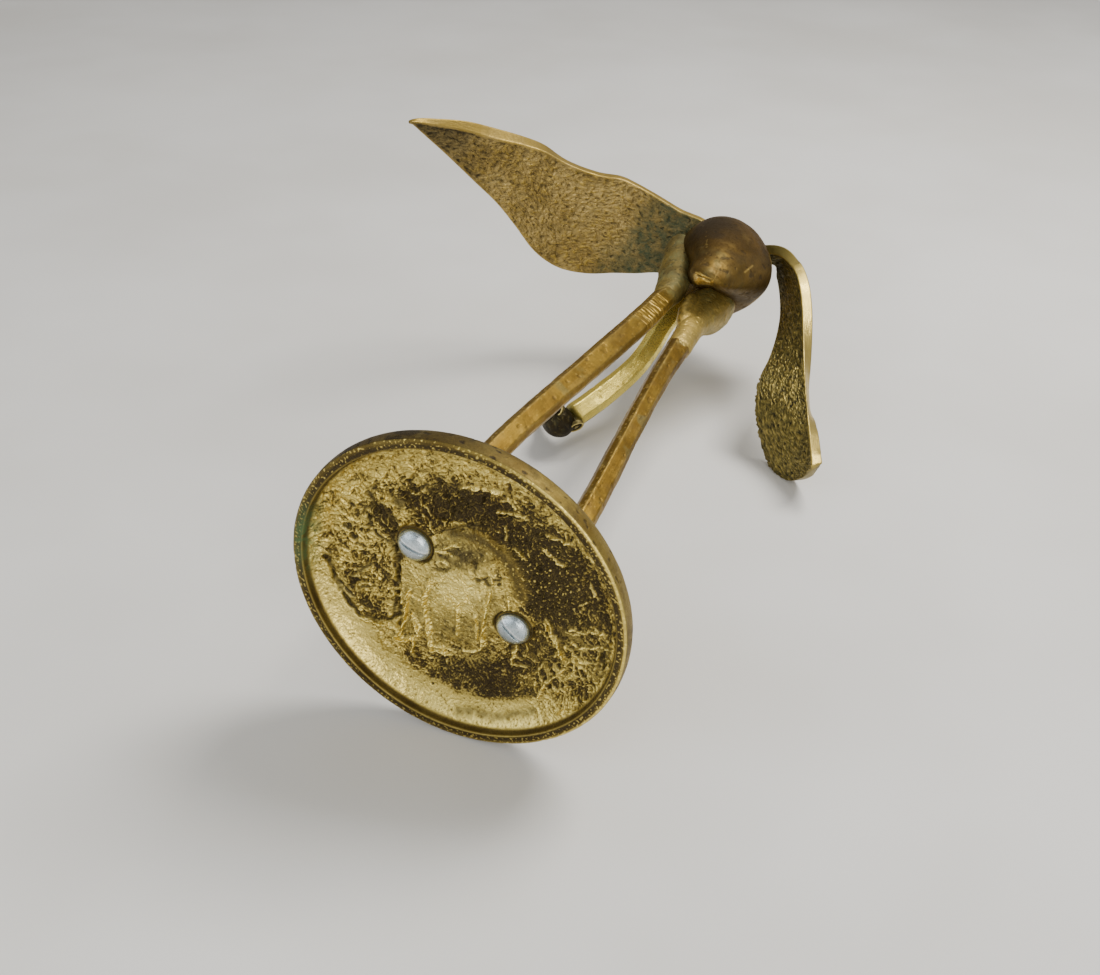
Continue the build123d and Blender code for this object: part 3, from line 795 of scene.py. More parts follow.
def foot_ring(grid):
    """Dark, with worn specks towards its outer edge and a bright outer corner."""
    x, y, _ = axes(grid)
    plan = points(x, y, 0)
    radius = np.hypot(x, y)
    push = 0.05 * cloud(plan, 2.0, 50) - 0.10 * patch(plan, 1.6, 51, 0.2, 0.5, octaves=2)
    specks = (ease(noise(plan, 0.7, 52) + 0.25 * noise(plan, 3.0, 53), 0.25, 0.5)
              * ease(radius, 47.2, 47.6))
    lip = ease(radius, 48.75, 49.15)
    inner = bell(radius - 46.95, 0.22)
    lit_lip = lip * (0.12 + 0.78 * ease(in_view(grid)[0], -30, 2.5))
    dark = clamp(0.97 - 0.75 * specks - 0.85 * lit_lip - 0.50 * inner
                 - 0.15 * ease(radius, 48.1, 48.6))
    bright = clamp(0.5 * specks + 0.70 * lit_lip * (0.75 + 0.35 * noise(plan, 2.2, 54))
                   + 0.30 * inner)
    bearing = np.degrees(np.arctan2(y, x))
    return push, dark, bright, 0.95 * bell(bearing - 157, 12) * (1 - 0.6 * lip)


def turned_wall(grid):
    x, y, z = axes(grid)
    right = in_view(grid)[0]
    nick = patch(grid, (2.6, 2.6, 1.6), 62, 0.34, 0.52, octaves=2)
    push = 0.05 * cloud(grid, (5, 5, 3), 60) + 0.012 * noise(grid, (30, 30, 0.35), 61)
    push -= 0.10 * nick
    # painted shade darkens the wall towards the camera's left, and a painted highlight lights its
    # foot towards the camera's right
    dark = (0.30 * nick + 0.20 * patch(grid, 8, 63, 0.0, 0.4) + 0.60
            + 0.25 * fall(right, -27.5, 2.5))
    bright = clamp((0.05 + 0.5 * ease(right, -30, 2.5)) * fall(z, 0.3, 0.75)
                   + 0.15 * patch(grid, (9, 9, 2), 64, 0.0, 0.5))
    return push, dark, bright, 0.5 * bell(np.degrees(np.arctan2(y, x)) - 160, 12)


def top_dome(grid):
    """Scraped smooth, with pinholes, dull round the legs."""
    x, y, _ = axes(grid)
    pin = patch(grid, 1.5, 70, 0.42, 0.58, octaves=2)
    push = (0.16 * cloud(grid, 12, 71) + 0.03 * cloud(grid, 1.6, 72, octaves=2)
            - 0.14 * pin) * ease(np.hypot(x, y), 0.0, 1.2)
    socket = np.zeros_like(x)
    for side in (-1, 1):
        away = np.maximum(np.abs(x - side * LEG_X) - 4.1, np.abs(y) - 3.2)
        socket = np.maximum(socket, bell(np.maximum(away, 0), 0.9))
    push += 0.25 * socket
    dark = 0.55 * pin + 0.65 * socket + 0.28 * patch(grid, 9, 73, 0.05, 0.5)
    bright = 0.20 * patch(grid, 6, 74, 0.05, 0.5)
    green = 0.45 * ease(socket, 0.2, 0.7) * patch(grid, 3, 75, -0.1, 0.4, octaves=2)
    return push, dark, bright, green


def base_casting():
    under = resample(catmull(UNDER, 12), 360, 2)
    foot = resample(FOOT, 26, 2)[1:]
    wall = resample(catmull(WALL, 12), 36, 2)[1:]
    crown = resample(catmull(CROWN, 12), 110, 2)[1:]
    under[0, 0] = crown[-1, 0] = 0.04
    runs = under, foot, wall, crown
    grid = revolve(np.concatenate(runs), 1260)
    starts = np.cumsum([len(run) for run in runs])[:-1]
    painters = bowl, foot_ring, turned_wall, top_dome
    painted = [paint(part) for paint, part in zip(painters, np.split(grid, starts))]
    push, *mask = (np.concatenate(field) for field in zip(*painted))
    # each run meets the rows before it without a step
    for start in starts:
        for back in range(1, 4):
            t = back / 4
            push[start - back] = push[start - back] * t + push[start] * (1 - t)
    piece("base_casting", "base_dish", BASE_BRASS, grid, push, mask, poles=True)


base_casting()

# ================================================================ screws
HEAD_DEPTH = 3.0
# (radius, z), z = 0 at the top of the head
SCREW_DOME = [
    (0.02, -HEAD_DEPTH), (0.8, -2.99), (1.6, -2.93), (2.4, -2.80), (3.1, -2.58), (3.7, -2.28),
    (4.2, -1.90), (4.6, -1.45), (4.87, -1.05), (4.98, -0.7), (5.0, -0.4), (4.94, -0.16),
    (4.8, -0.03), (4.6, 0.0)]
SHANK = [(4.6, 0.0), (2.75, 0.0), (2.5, 0.25), (2.5, 15.2), (1.9, 16.0), (0.02, 16.0)]
SLOT_DEPTH = 0.75


def screw(name, side, turn):
    """Slotted screw, head down. turn: the slot's angle from x, in degrees."""
    dome = resample(SCREW_DOME, 120, 2)
    profile = np.concatenate([dome, resample(SHANK, 40, 2)[1:]])
    x, y, z = axes(revolve(profile, 288))
    radius = profile[:, :1]
    row = np.arange(len(profile))[:, None]
    on_head = row < len(dome)
    inside = row < len(dome) - 10
    across = -x * math.sin(math.radians(turn)) + y * math.cos(math.radians(turn))
    slot = fall(np.abs(across), 0.30, 0.52) * inside
    # one side of the slot is turned up a little by a screwdriver
    lip = bell(across + 0.72, 0.28) * inside * ease(radius, 0.0, 0.5)
    z = z * (1 - slot) + slot * np.maximum(z, SLOT_DEPTH - HEAD_DEPTH) - 0.06 * lip
    grid = points(x + side * LEG_X, y, z + SCREW_Z)
    scar = patch(grid, 0.9, 81, 0.38, 0.55, octaves=2) * inside * (1 - slot)
    push = 0.03 * cloud(grid, 1.8, 80) * on_head * ease(radius, 0.0, 0.6) - 0.05 * scar
    rim = ease(radius, 4.75, 4.95) * on_head
    dark = 0.25 * slot + 0.25 * scar + 0.35 * rim
    piece(name, "leg_screws", ZINC, grid, push, (dark, lip, 0), poles=True)


screw("screw_left", -1, turn=-12)
screw("screw_right", 1, turn=8)


# ================================================================ bars with filed facets
def octagon_ring(width, depth, chamfer, count):
    """Chamfered rectangle sampled by length, corners a touch rounded.
    Returns points, closeness to a corner and facet number."""
    x, y, c = width / 2, depth / 2, chamfer
    corners = np.array([(-x + c, -y), (x - c, -y), (x, -y + c), (x, y - c),
                        (x - c, y), (-x + c, y), (-x, y - c), (-x, -y + c)])
    ahead = np.roll(corners, -1, 0)
    sides = np.linalg.norm(ahead - corners, axis=1)
    along = np.concatenate([[0], np.cumsum(sides)])
    t = np.linspace(0, along[-1], count, endpoint=False)
    facet = np.clip(np.searchsorted(along, t, side="right") - 1, 0, 7)
    part = (t - along[facet]) / sides[facet]
    ring = corners[facet] * (1 - part)[:, None] + ahead[facet] * part[:, None]
    for _ in range(3):
        ring = 0.25 * np.roll(ring, 1, 0) + 0.5 * ring + 0.25 * np.roll(ring, -1, 0)
    return ring, bell(np.minimum(part, 1 - part) * sides[facet], 0.32), facet


def bar(stations, chamfer, count, seed, level, marks=()):
    """stations: (x, y, z, width, depth). chamfer is a share of the depth.
    level: sections stay horizontal; otherwise they are square to the path.
    marks: groups of cross strokes (place along 0..1, count, gap, slant, depth, facets).
    Returns grid, push, dark, bright, green."""
    stations = resample(catmull(stations, 24), count)
    line = stations[:, :3]
    if level:
        tangent = np.tile((0.0, 0.0, 1.0), (count, 1))
    else:
        tangent = unit(np.gradient(line, axis=0))
    side = unit(np.array((1.0, 0, 0)) - tangent * tangent[:, :1])
    front = np.cross(tangent, side)
    ring = 128
    grid = np.zeros((count, ring, 3))
    corner = np.zeros((count, ring))
    facet = np.zeros((count, ring), int)
    for i, (width, depth) in enumerate(stations[:, 3:]):
        outline, corner[i], facet[i] = octagon_ring(width, depth, chamfer * depth, ring)
        grid[i] = line[i] + outline[:, :1] * side[i] + outline[:, 1:] * front[i]
    along = lengths(line)[:, None]
    total = along[-1, 0]
    around = (np.arange(ring) / ring)[None, :] * 26.0
    unrolled = points(around, along, facet * 7.0)
    push = (0.12 * noise(grid, 16, seed) + 0.07 * noise(grid, 5.5, seed + 1)
            + 0.012 * noise(grid, (1.2, 1.2, 2.4), seed + 2))
    # file strokes nearly along the bar
    push += 0.018 * noise(unrolled, (0.35, 6.0, 1.0), seed + 3)
    ding = patch(grid, (1.9, 1.9, 3.4), seed + 4, 0.42, 0.62, octaves=2)
    push -= 0.10 * ding
    push -= 0.08 * corner * ease(noise(grid, 3.0, seed + 5), 0.0, 0.5)
    bright = (0.42 * corner * (0.6 + 0.6 * noise(grid, 6.0, seed + 6))
              + 0.10 * ease(noise(unrolled, (2.5, 14.0, 1.0), seed + 7), 0.1, 0.6))
    dark = 0.30 * ding + 0.35 * patch(grid, 7, seed + 8, 0.12, 0.5)
    nicks = patch(grid, (0.9, 0.9, 1.4), seed + 9, 0.5, 0.62, octaves=2)
    bright = np.maximum(bright, 0.56 * nicks * (0.35 + 0.65 * corner))
    for place, strokes, gap, slant, depth, facets in marks:
        chosen = np.isin(facet, facets)
        random = np.random.default_rng(seed + strokes)
        for k in range(strokes):
            centre = place * total + (k - strokes / 2 + random.uniform(-0.22, 0.22)) * gap
            wide, lit = random.uniform(0.28, 0.62), random.uniform(0.25, 0.8)
            tilt = slant * random.uniform(0.5, 1.4) * 0.12
            away = (along - centre - tilt * (around - around.mean())
                    + 0.5 * noise(grid, 3.0, seed + 20 + k))
            reach = chosen * clamp(0.75 + 1.3 * noise(grid, (3.0, 3.0, 4.0), seed + 50 + k))
            groove = bell(away, wide) * reach
            burr = bell(away - 1.25 * wide, 0.8 * wide) * reach
            push += depth * (0.5 * burr - groove)
            bright = np.maximum(bright, lit * burr)
            dark = np.maximum(dark, 0.25 * groove)
    green = 0.35 * patch(grid, 8, seed + 10, 0.2, 0.5)
    dark = np.maximum(dark, 0.7 * bell(np.minimum(along, total - along), 1.6))
    return grid, push, dark, bright, green


# (x, z, width, depth) of level sections
LEFT_LEG = [
    (-17.8, SEAT_Z, 8.2, 6.4), (-18.1, 40, 8.2, 6.4), (-17.4, 66, 8.3, 6.5),
    (-14.8, 97, 8.6, 6.6), (-12.2, 124, 9.0, 6.8), (-8.8, 160, 9.4, 7.0), (-7.0, 182, 9.4, 7.2),
    (-6.3, 195, 9.0, 7.0), (-5.9, 201, 7.4, 5.6), (-5.6, 206, 5.6, 4.2)]
RIGHT_LEG = [
    (17.8, SEAT_Z, 8.0, 6.4), (17.8, 40, 8.0, 6.4), (16.6, 68, 7.9, 6.5), (14.6, 96, 7.6, 6.6),
    (12.7, 120, 7.4, 6.7), (10.7, 152, 7.8, 6.9), (9.9, 178, 8.8, 7.2)]


def leg(name, node, table, seed, marks=(), green_top=False):
    stations = [(x, 0.0, z, width, depth) for x, z, width, depth in table]
    grid, push, dark, bright, green = bar(stations, 0.24, 520, seed, True, marks)
    _, y, z = axes(grid)
    green += 0.35 * ease(z, 165, 200) * patch(grid, 5, seed + 60, -0.05, 0.4) * (y > -1.5)
    if green_top:
        green = np.maximum(green, 0.65 * ease(z, 196, 203))
        bright = clamp(bright + 0.25 * ease(z, 192, 202))
    piece(name, node, LEG_BRASS, grid, push, (dark, bright, green))


leg("leg_left", "left_leg", LEFT_LEG, 100, [(0.885, 13, 1.9, 0.5, 0.16, (0, 1))], green_top=True)
leg("leg_right", "right_leg", RIGHT_LEG, 140)

# (x, y, z, width, depth) from the body down to the head
NECK = [
    (4.0, 17.0, 246.0, 8.4, 7.0), (2.6, 19.0, 231.0, 8.4, 7.0), (1.8, 20.6, 219.0, 8.4, 7.0),
    (3.2, 25.0, 206.0, 8.6, 7.0), (3.6, 29.2, 196.0, 8.8, 7.0), (2.4, 34.0, 186.6, 9.2, 7.0),
    (0.4, 38.8, 176.6, 9.6, 7.2), (-1.4, 42.0, 168.8, 9.6, 7.2), (-2.8, 44.2, 163.6, 9.4, 7.2)]


def neck():
    grid, push, dark, bright, green = bar(NECK, 0.26, 420, 180, False,
                                          [(0.965, 4, 1.2, 0.1, 0.08, (0, 1, 7))])
    # the whole neck is painted lighter, its upper part most: painted light where the body and
    # thighs shade it
    bright = clamp(bright + 0.22 + 0.78 * ease(grid[..., 2], 184, 206)
                   * clamp(0.7 + 0.8 * cloud(grid, 6, 190), 0, 1.2))
    piece("neck_bar", "neck", NECK_BRASS, grid, push, (dark * 0.6, bright, green))


neck()

# ================================================================ thighs
X_AXIS, Y_AXIS = np.array((1.0, 0, 0)), np.array((0, 1.0, 0))
# (x, y, z, half width in x, half width in y)
LEFT_THIGH = [
    (-6.4, 2.6, 195, 3.9, 3.2), (-5.8, 3.2, 206, 4.8, 4.8), (-6.0, 3.6, 216, 6.0, 7.2),
    (-8.2, 3.2, 227, 6.6, 8.0), (-11.5, 2.5, 237, 6.0, 7.0), (-14.0, 2.5, 246, 5.0, 6.0)]
RIGHT_THIGH = [
    (9.9, 0.0, 176.5, 4.5, 3.7), (9.9, 0.0, 180, 4.9, 4.3), (9.7, 0.3, 190, 5.0, 4.6),
    (9.3, 1.0, 200, 5.8, 5.4), (9.8, 2.4, 210, 7.4, 7.2), (10.8, 4.0, 219, 9.0, 9.6),
    (11.6, 5.0, 230, 9.2, 10.6), (11.0, 5.0, 245, 6.0, 8.0)]
# filed golden strokes on the view plane: (line, width, amount)
LEFT_GOLD = [([(32.75, -46.125), (34.25, -47.625)], 0.55, 0.7)]
RIGHT_GOLD = [([(31.5, -35.625), (33.25, -39.375), (35, -42.375)], 2.5, 0.55),
              ([(35.5, -43.875), (36.75, -47.875)], 1.25, 0.9),
              ([(34, -39.375), (37.5, -43.875), (39.75, -45.375)], 0.75, 0.3)]
# the bar's rounded end shows in the right thigh as a sunk arch, darkened by a painted shadow under
# the body's edge, with a bright arc above it
ARCH = [(28.625, -33.75), (29.5, -35.25), (31, -36.375), (32.5, -36.625), (34, -35.75),
        (34.5, -33.875)]
ARCH_LIGHT = [(32.625, -37.25), (34.5, -36.375), (35.25, -35.25)]


def thigh(name, node, table, seed, gold, left):
    stations = resample(catmull(table, 24), 300)
    grid = ovals(stations[:, :3], X_AXIS, Y_AXIS, stations[:, 3], stations[:, 4], 220)
    z = grid[..., 2]
    lump = patch(grid, 3.6, seed + 3, 0.25, 0.55, octaves=2)
    pit = patch(grid, 1.8, seed + 4, 0.28, 0.48)
    push = (0.28 * cloud(grid, 9, seed) + 0.09 * cloud(grid, 2.2, seed + 1)
            + 0.04 * noise(grid, 0.9, seed + 2) + 0.12 * lump - 0.16 * pit)
    dark = 0.45 * pit + 0.25 * patch(grid, 6, seed + 5, 0.1, 0.5)
    bright = 0.18 * lump + 0.15 * patch(grid, (4, 4, 9), seed + 6, 0.2, 0.5)
    high = ease(z, 196, 222)
    green = (0.10 + 0.55 * high) * patch(grid, 7, seed + 7, -0.25, 0.35)
    if left:
        dark = clamp(dark + 0.20 + 0.22 * high + 0.30 * ease(z, 226, 242))
    else:
        # the right thigh is painted lighter than the left: painted light where the body shades it
        dark *= 0.5
        bright += 0.22 + 0.15 * patch(grid, (5, 5, 12), seed + 12, -0.1, 0.3)
    view = in_view(grid)
    seen = ease(facing(grid), 0.0, 0.3)
    for line, width, amount in gold:
        e = (stroke(view, line, width) * seen
             * clamp(0.85 + 0.4 * noise(grid, (2, 2, 5), seed + 8), 0, 1.2))
        bright = np.maximum(bright, amount * e)
        green *= 1 - 0.9 * e
        dark *= 1 - 0.6 * e
    if not left:
        # painted shadow in the sunk arch
        e = stroke(view, ARCH, 0.275) * seen
        push -= 0.22 * e
        dark = np.maximum(dark, 0.75 * e)
        e = (stroke(view, ARCH_LIGHT, 0.325) * seen
             * clamp(0.6 + 1.2 * noise(grid, 1.2, seed + 9)))
        bright = np.maximum(bright, 0.45 * e)
        push += 0.08 * e
    piece(name, node, PATINA, grid, push, (dark, bright, green))


thigh("thigh_left", "left_thigh", LEFT_THIGH, 220, LEFT_GOLD, left=True)
thigh("thigh_right", "right_thigh", RIGHT_THIGH, 250, RIGHT_GOLD, left=False)

# ================================================================ body
BODY_X = 4.0
# (y, z, section tilt in degrees, half width, half height), from the breast to the tail
BODY = [
    (28.5, 262.6, 8, 3.0, 3.0), (26.5, 262.0, 10, 8.5, 9.0), (21.0, 260.6, 12, 13.6, 14.4),
    (13.0, 258.0, 16, 17.4, 18.0), (3.0, 253.4, 25, 19.4, 20.2), (-6.0, 245.6, 42, 19.4, 18.6),
    (-12.5, 235.0, 60, 18.0, 14.2), (-16.0, 223.0, 72, 14.6, 9.6), (-17.6, 212.5, 78, 10.0, 6.0),
    (-18.6, 205.5, 80, 6.0, 3.4), (-19.2, 202.6, 80, 2.6, 1.4)]
# strokes on the view plane
TAIL_SWELL = [(36.75, -53.875), (38, -52.625)]
TAIL_FLAT = [(37, -52.625), (39.5, -51.125)]
# (line, width, brightness or 0 for a dark stroke, push)
TAIL_STROKES = [
    ([(36.5, -53.75), (38.5, -52.875), (40.375, -51.75)], 0.225, 1.0, 0.30),
    ([(40.375, -51.75), (41.375, -52.875)], 0.225, 0.8, 0.25),
    ([(36.125, -51.75), (37.25, -50.625), (38.375, -49.875)], 0.2, 0.7, 0.15),
    ([(36.75, -53.125), (38.75, -52), (40, -51.125)], 0.2, 0.0, -0.35)]
BLUSH = [(40.5, -54.875), (43, -57.875)]
BRIGHT_SCRATCH = [(48.75, -53.875), (50.5, -55.375)]
DARK_CROWN = [(35, -62.875), (38.75, -65.375), (44.5, -66.625)]


def line_offset(at, line):
    """Distance from a broken line, found from a very wide stroke."""
    wide = 100.0
    return wide * np.sqrt(-np.log(stroke(at, line, wide)))


def body():
    stations = resample(catmull(BODY, 30), 420, 2)
    tilt = np.radians(stations[:, 2])
    centres = points(BODY_X, stations[:, 0], stations[:, 1])
    upright = points(0, -np.sin(tilt), np.cos(tilt))
    grid = ovals(centres, X_AXIS, upright, stations[:, 3], stations[:, 4], 420)
    swell = stroke(in_view(grid), TAIL_SWELL, 2) * ease(facing(grid), -0.30, 0.05)
    grid = grid + ring_normals(grid)[0] * (4.4 * swell)[..., None]
    x, _, z = axes(grid)
    view = in_view(grid)
    down = view[1]
    toward = facing(grid)
    seen = ease(toward, 0.0, 0.25)
    dent = patch(grid, 3.4, 303, 0.36, 0.6, octaves=2)
    push = (0.35 * cloud(grid, 22, 300) + 0.10 * cloud(grid, 6, 301)
            + 0.03 * cloud(grid, 1.6, 302) - 0.14 * dent)
    # fuller on its right flank
    push += 1.6 * bell(x - 22, 7) * bell(z - 236, 16)
    dark = 0.40 * dent + 0.35 * patch(grid, 11, 304, 0.05, 0.45)
    bright = 0.06 * patch(grid, 8, 305, 0.15, 0.5, octaves=4)
    # filed tail: a yellow flat with coarse strokes at its edges
    flat = fall(line_offset(view, TAIL_FLAT), 0.9, 1.5) * seen
    push -= 0.4 * flat
    bright = np.maximum(bright, 0.85 * flat * (0.8 + 0.5 * noise(grid, 1.6, 310)))
    dark *= 1 - 0.8 * flat
    for line, width, amount, rise in TAIL_STROKES:
        e = stroke(view, line, width) * seen
        push += rise * e
        if amount:
            bright = np.maximum(bright, amount * e)
        else:
            dark = np.maximum(dark, 0.8 * e)
    blush = stroke(view, BLUSH, 1.75) * seen * (0.8 + 0.6 * noise(grid, 2.5, 313))
    bright = np.maximum(bright, 0.16 * blush)
    bright = np.maximum(bright, 0.5 * stroke(view, BRIGHT_SCRATCH, 0.225) * seen)
    dark = np.maximum(dark, 0.45 * stroke(view, DARK_CROWN, 2.25) * seen)
    dark = clamp(dark + 0.30 * seen * fall(down, -65.375, -58.375))
    bright = clamp(bright + 0.10 * seen * ease(down, -60.375, -53.375)
                   * (0.8 + 0.6 * cloud(grid, (3, 3, 9), 314)))
    # painted highlight along the outline of the right flank, where it turns away from the camera,
    # and painted shade on that flank
    outline_highlight = (fall(toward, 0.02, 0.16) * ease(toward, -0.22, -0.08) * ease(x, 14, 18)
               * ease(z, 228, 236) * fall(z, 258, 264))
    dark = clamp(dark + 0.35 * fall(toward, 0.10, 0.45) * ease(x, 8, 16))
    bright = np.maximum(bright, 0.75 * outline_highlight)
    dark *= 1 - 0.9 * outline_highlight
    green = 0.25 * fall(z, 206, 226) * patch(grid, 5, 311, 0.05, 0.5)
    piece("body_shell", "body", BODY_BRASS, grid, push, (dark, bright, green))


body()

# ================================================================ head
SKULL = np.array((-5.9, 48.6, 159.4))
BILL = unit(np.array((-0.28, 0.66, 0.70)))       # the way the bill points
HEAD_SIDE = unit(X_AXIS - BILL * BILL[0])
HEAD_TOP = np.cross(BILL, HEAD_SIDE)
# (distance along the bill from the skull's centre, half width, half height)
HEAD = [
    (-7.0, 1.6, 1.5), (-6.2, 3.6, 3.4), (-4.2, 5.3, 5.0), (-1.2, 6.3, 6.0), (2.2, 6.2, 5.9),
    (5.6, 5.4, 5.1), (8.8, 4.1, 3.9), (12.0, 3.0, 2.8), (16.5, 2.2, 2.1), (24.0, 1.4, 1.3),
    (31.0, 0.6, 0.55)]
# pale scratches, on the view plane
SCRATCHES = [[(0.5, -18.875), (1.5, -14.875)], [(3, -19.875), (3.25, -15.875)],
             [(4.75, -18.125), (4.5, -14.125)], [(-0.5, -15.875), (0.5, -13.875)]]


def head():
    stations = resample(catmull(HEAD, 24), 340, 2)
    ring = 200
    along = stations[:, :1]
    grid = ovals(SKULL + along * BILL, HEAD_SIDE, HEAD_TOP, stations[:, 1], stations[:, 2], ring)
    push = (0.14 * cloud(grid, 5, 330) + 0.03 * cloud(grid, 1.6, 331)
            + 0.008 * noise(grid, 0.8, 336))
    # gape line along both sides of the bill
    sides = sum(bell(circle(ring) - turn, 0.16) for turn in (0.0, TAU, math.pi))
    gape = ease(along, 9, 11) * fall(along, 27, 30) * sides
    push -= 0.22 * gape
    dark = (clamp(0.35 + 0.45 * patch(grid, 4, 332, 0.0, 0.4) + 0.6 * gape)
            * (1 - 0.4 * ease(along, 8, 14)))
    bright = 0.08 * patch(grid, 2.4, 333, 0.2, 0.5) + 0.2 * ease(along, 12, 20)
    green = 0.2 * patch(grid, 3, 334, 0.2, 0.5, octaves=2)
    view = in_view(grid)
    for k, line in enumerate(SCRATCHES):
        e = stroke(view, line, 0.225) * clamp(0.5 + 1.0 * noise(grid, 1.5, 337 + k))
        bright = np.maximum(bright, 0.14 * e)
    piece("head_shell", "head_and_bill", HEAD_BRASS, grid, push, (dark, bright, green))


head()

# a raised ring with a pip in the middle: (radius, height)
EYE = [(2.9, -1.2), (2.9, 0.05), (2.78, 0.34), (2.5, 0.46), (2.2, 0.34), (2.05, 0.05),
       (1.8, -0.15), (1.4, -0.10), (1.1, 0.10), (0.7, 0.26), (0.3, 0.31), (0.02, 0.32)]
EYE_AT = np.array((0.55, 44.6, 158.9))
EYE_NORMAL = np.array((0.776, -0.041, -0.626))
EYE_LONG = 0.9 * np.array(CAMERA_RIGHT) + 0.42 * np.array(CAMERA_UP)


def eye(name, centre, normal, long_axis, seed):
    """Drawn out a little along long_axis."""
    normal = unit(normal)
    long_axis = unit(long_axis - normal * np.dot(long_axis, normal))
    short_axis = np.cross(normal, long_axis)
    profile = resample(catmull(EYE, 4), 52, 2)
    radius = profile[:, 0]
    centres = centre + profile[:, 1:] * normal
    grid = ovals(centres, long_axis, short_axis, 1.12 * radius, 0.92 * radius, 96)
    push = 0.05 * noise(grid, 1.2, seed)
    radius = radius[:, None]
    bright = 0.95 * bell(radius - 2.5, 0.35) + 0.35 * fall(radius, 0.4, 1.0)
    dark = 0.9 * bell(radius - 1.8, 0.28) + 0.3 * (radius > 2.8)
    piece(name, "head_and_bill", HEAD_BRASS, grid, push, (dark, bright, 0))


def mirrored(v):
    return v - 2 * np.dot(v, HEAD_SIDE) * HEAD_SIDE


eye("eye_right", EYE_AT, EYE_NORMAL, EYE_LONG, 340)
eye("eye_left", SKULL + mirrored(EYE_AT - SKULL), mirrored(EYE_NORMAL), mirrored(EYE_LONG), 341)

# ================================================================ brazed seams
# (height, share of the fatness)
SEAM = [(-2.2, -0.3), (-1.6, 0.05), (-0.8, 0.30), (0.0, 0.42), (0.9, 0.40), (1.7, 0.30),
        (2.6, 0.05), (3.2, -0.35)]


def seam(name, centre, width, depth, fat, seed):
    """A wavy collar of braze round a leg's end."""
    x, y, z = centre
    profile = resample(catmull(SEAM, 8), 70, 2)
    height, bulge = profile[:, :1], fat * profile[:, 1:]
    turn = circle(220)
    wave = 0.9 * np.sin(2 * turn + seed) + 0.5 * np.sin(3 * turn + 1.7 * seed)
    grid = points(x + (width / 2 + bulge) * np.cos(turn), y + (depth / 2 + bulge) * np.sin(turn),
                  z + height + wave * 0.6)
    push = 0.16 * cloud(grid, 2.6, seed) + 0.08 * cloud(grid, 0.9, seed + 1, octaves=2)
    dark = clamp(0.55 * bell(height + 1.9, 0.6) + 0.3 * patch(grid, 2.5, seed + 2, 0.0, 0.4))
    bright = 0.35 * patch(grid, 1.8, seed + 3, 0.2, 0.45, octaves=2)
    green = 0.25 * patch(grid, 3.5, seed + 4, -0.1, 0.3)
    piece(name, "leg_braze_seams", PATINA, grid, push, (dark, bright, green))


def web(name, centre, directions, radii, seed):
    """A run of braze metal between the thighs: a lumpy ellipsoid."""
    polar = np.linspace(0.02, math.pi - 0.02, 80)[:, None, None]
    turn = circle(120)[..., None]
    a, b, c = (unit(np.array(v, float)) for v in directions)
    grid = (np.array(centre, float) + radii[0] * np.sin(polar) * np.cos(turn) * a
            + radii[1] * np.sin(polar) * np.sin(turn) * b + radii[2] * np.cos(polar) * c)
    push = 0.3 * cloud(grid, 4.0, seed) + 0.06 * cloud(grid, 1.0, seed + 1, octaves=2)
    dark = 0.15 * patch(grid, 2.0, seed + 2, 0.1, 0.5)
    bright = 0.72 * (0.7 + 0.6 * noise(grid, 1.5, seed + 3))
    piece(name, "leg_braze_seams", PATINA, grid, push, (dark, bright, 0.03))


seam("braze_left", (-6.2, 1.6, 196.5), width=7.6, depth=5.4, fat=1.2, seed=360)
seam("braze_right", (9.9, 0.0, 178), width=8.8, depth=7.2, fat=0.8, seed=365)
web("braze_web", (4.9, 0.0, 204.5), ((0.99, 0, 0.134), (0, 1, 0), (-0.134, 0, 0.99)),
    radii=(3.9, 3.6, 14.0), seed=370)

# ================================================================ wings
# from root to tip: lower corner of the trailing edge, lower corner of the leading edge
LEFT_WING = [
    ((-3.0, -7.0, 252.5), (-4.0, 15.0, 251.0)), ((-12.5, -10.1, 252.0), (-13.6, 20.7, 249.8)),
    ((-23.3, -6.9, 251.4), (-20.8, 27.5, 248.6)), ((-34.0, -5.7, 249.7), (-28.3, 33.2, 246.0)),
    ((-43.5, -4.9, 247.0), (-35.2, 38.4, 242.4)), ((-50.6, -3.6, 244.7), (-43.0, 42.4, 239.0)),
    ((-58.9, 0.2, 241.0), (-50.7, 43.6, 235.4)), ((-70.2, 2.0, 235.0), (-60.2, 40.5, 229.4)),
    ((-80.1, 1.4, 228.6), (-72.0, 33.7, 223.5)), ((-88.35, 2.3, 222.3), (-82.6, 28.0, 217.9)),
    ((-97.3, 4.1, 214.7), (-93.6, 23.3, 211.2)), ((-106.9, 5.0, 206.2), (-108.6, 18.2, 204.0)),
    ((-116.4, 6.9, 196.6), (-117.6, 12.9, 195.4)), ((-123.2, 7.7, 188.9), (-122.5, 8.6, 188.7))]
RIGHT_WING = [
    ((8.0, -8.0, 256.0), (8.5, 5.0, 264.0)), ((18.0, -19.6, 253.4), (20.4, -10.0, 264.0)),
    ((25.2, -24.2, 245.4), (26.0, -6.8, 264.4)), ((31.3, -24.8, 237.0), (31.6, -5.0, 256.8)),
    ((38.1, -22.6, 227.0), (36.2, -4.6, 243.8)), ((44.6, -19.5, 216.5), (39.6, -3.2, 230.0)),
    ((51.4, -16.5, 204.8), (41.8, -1.6, 215.9)), ((57.6, -14.6, 193.0), (42.6, -0.4, 202.4)),
    ((62.1, -13.5, 184.1), (45.4, 2.2, 193.0)), ((65.3, -12.7, 177.4), (51.6, 7.4, 188.6)),
    ((68.4, -12.0, 170.7), (60.4, 13.0, 185.0)), ((70.8, -11.5, 165.3), (67.8, 14.4, 179.8)),
    ((72.3, -11.0, 162.2), (74.4, 9.4, 173.2)), ((73.4, -10.6, 159.9), (76.0, -0.6, 165.4))]
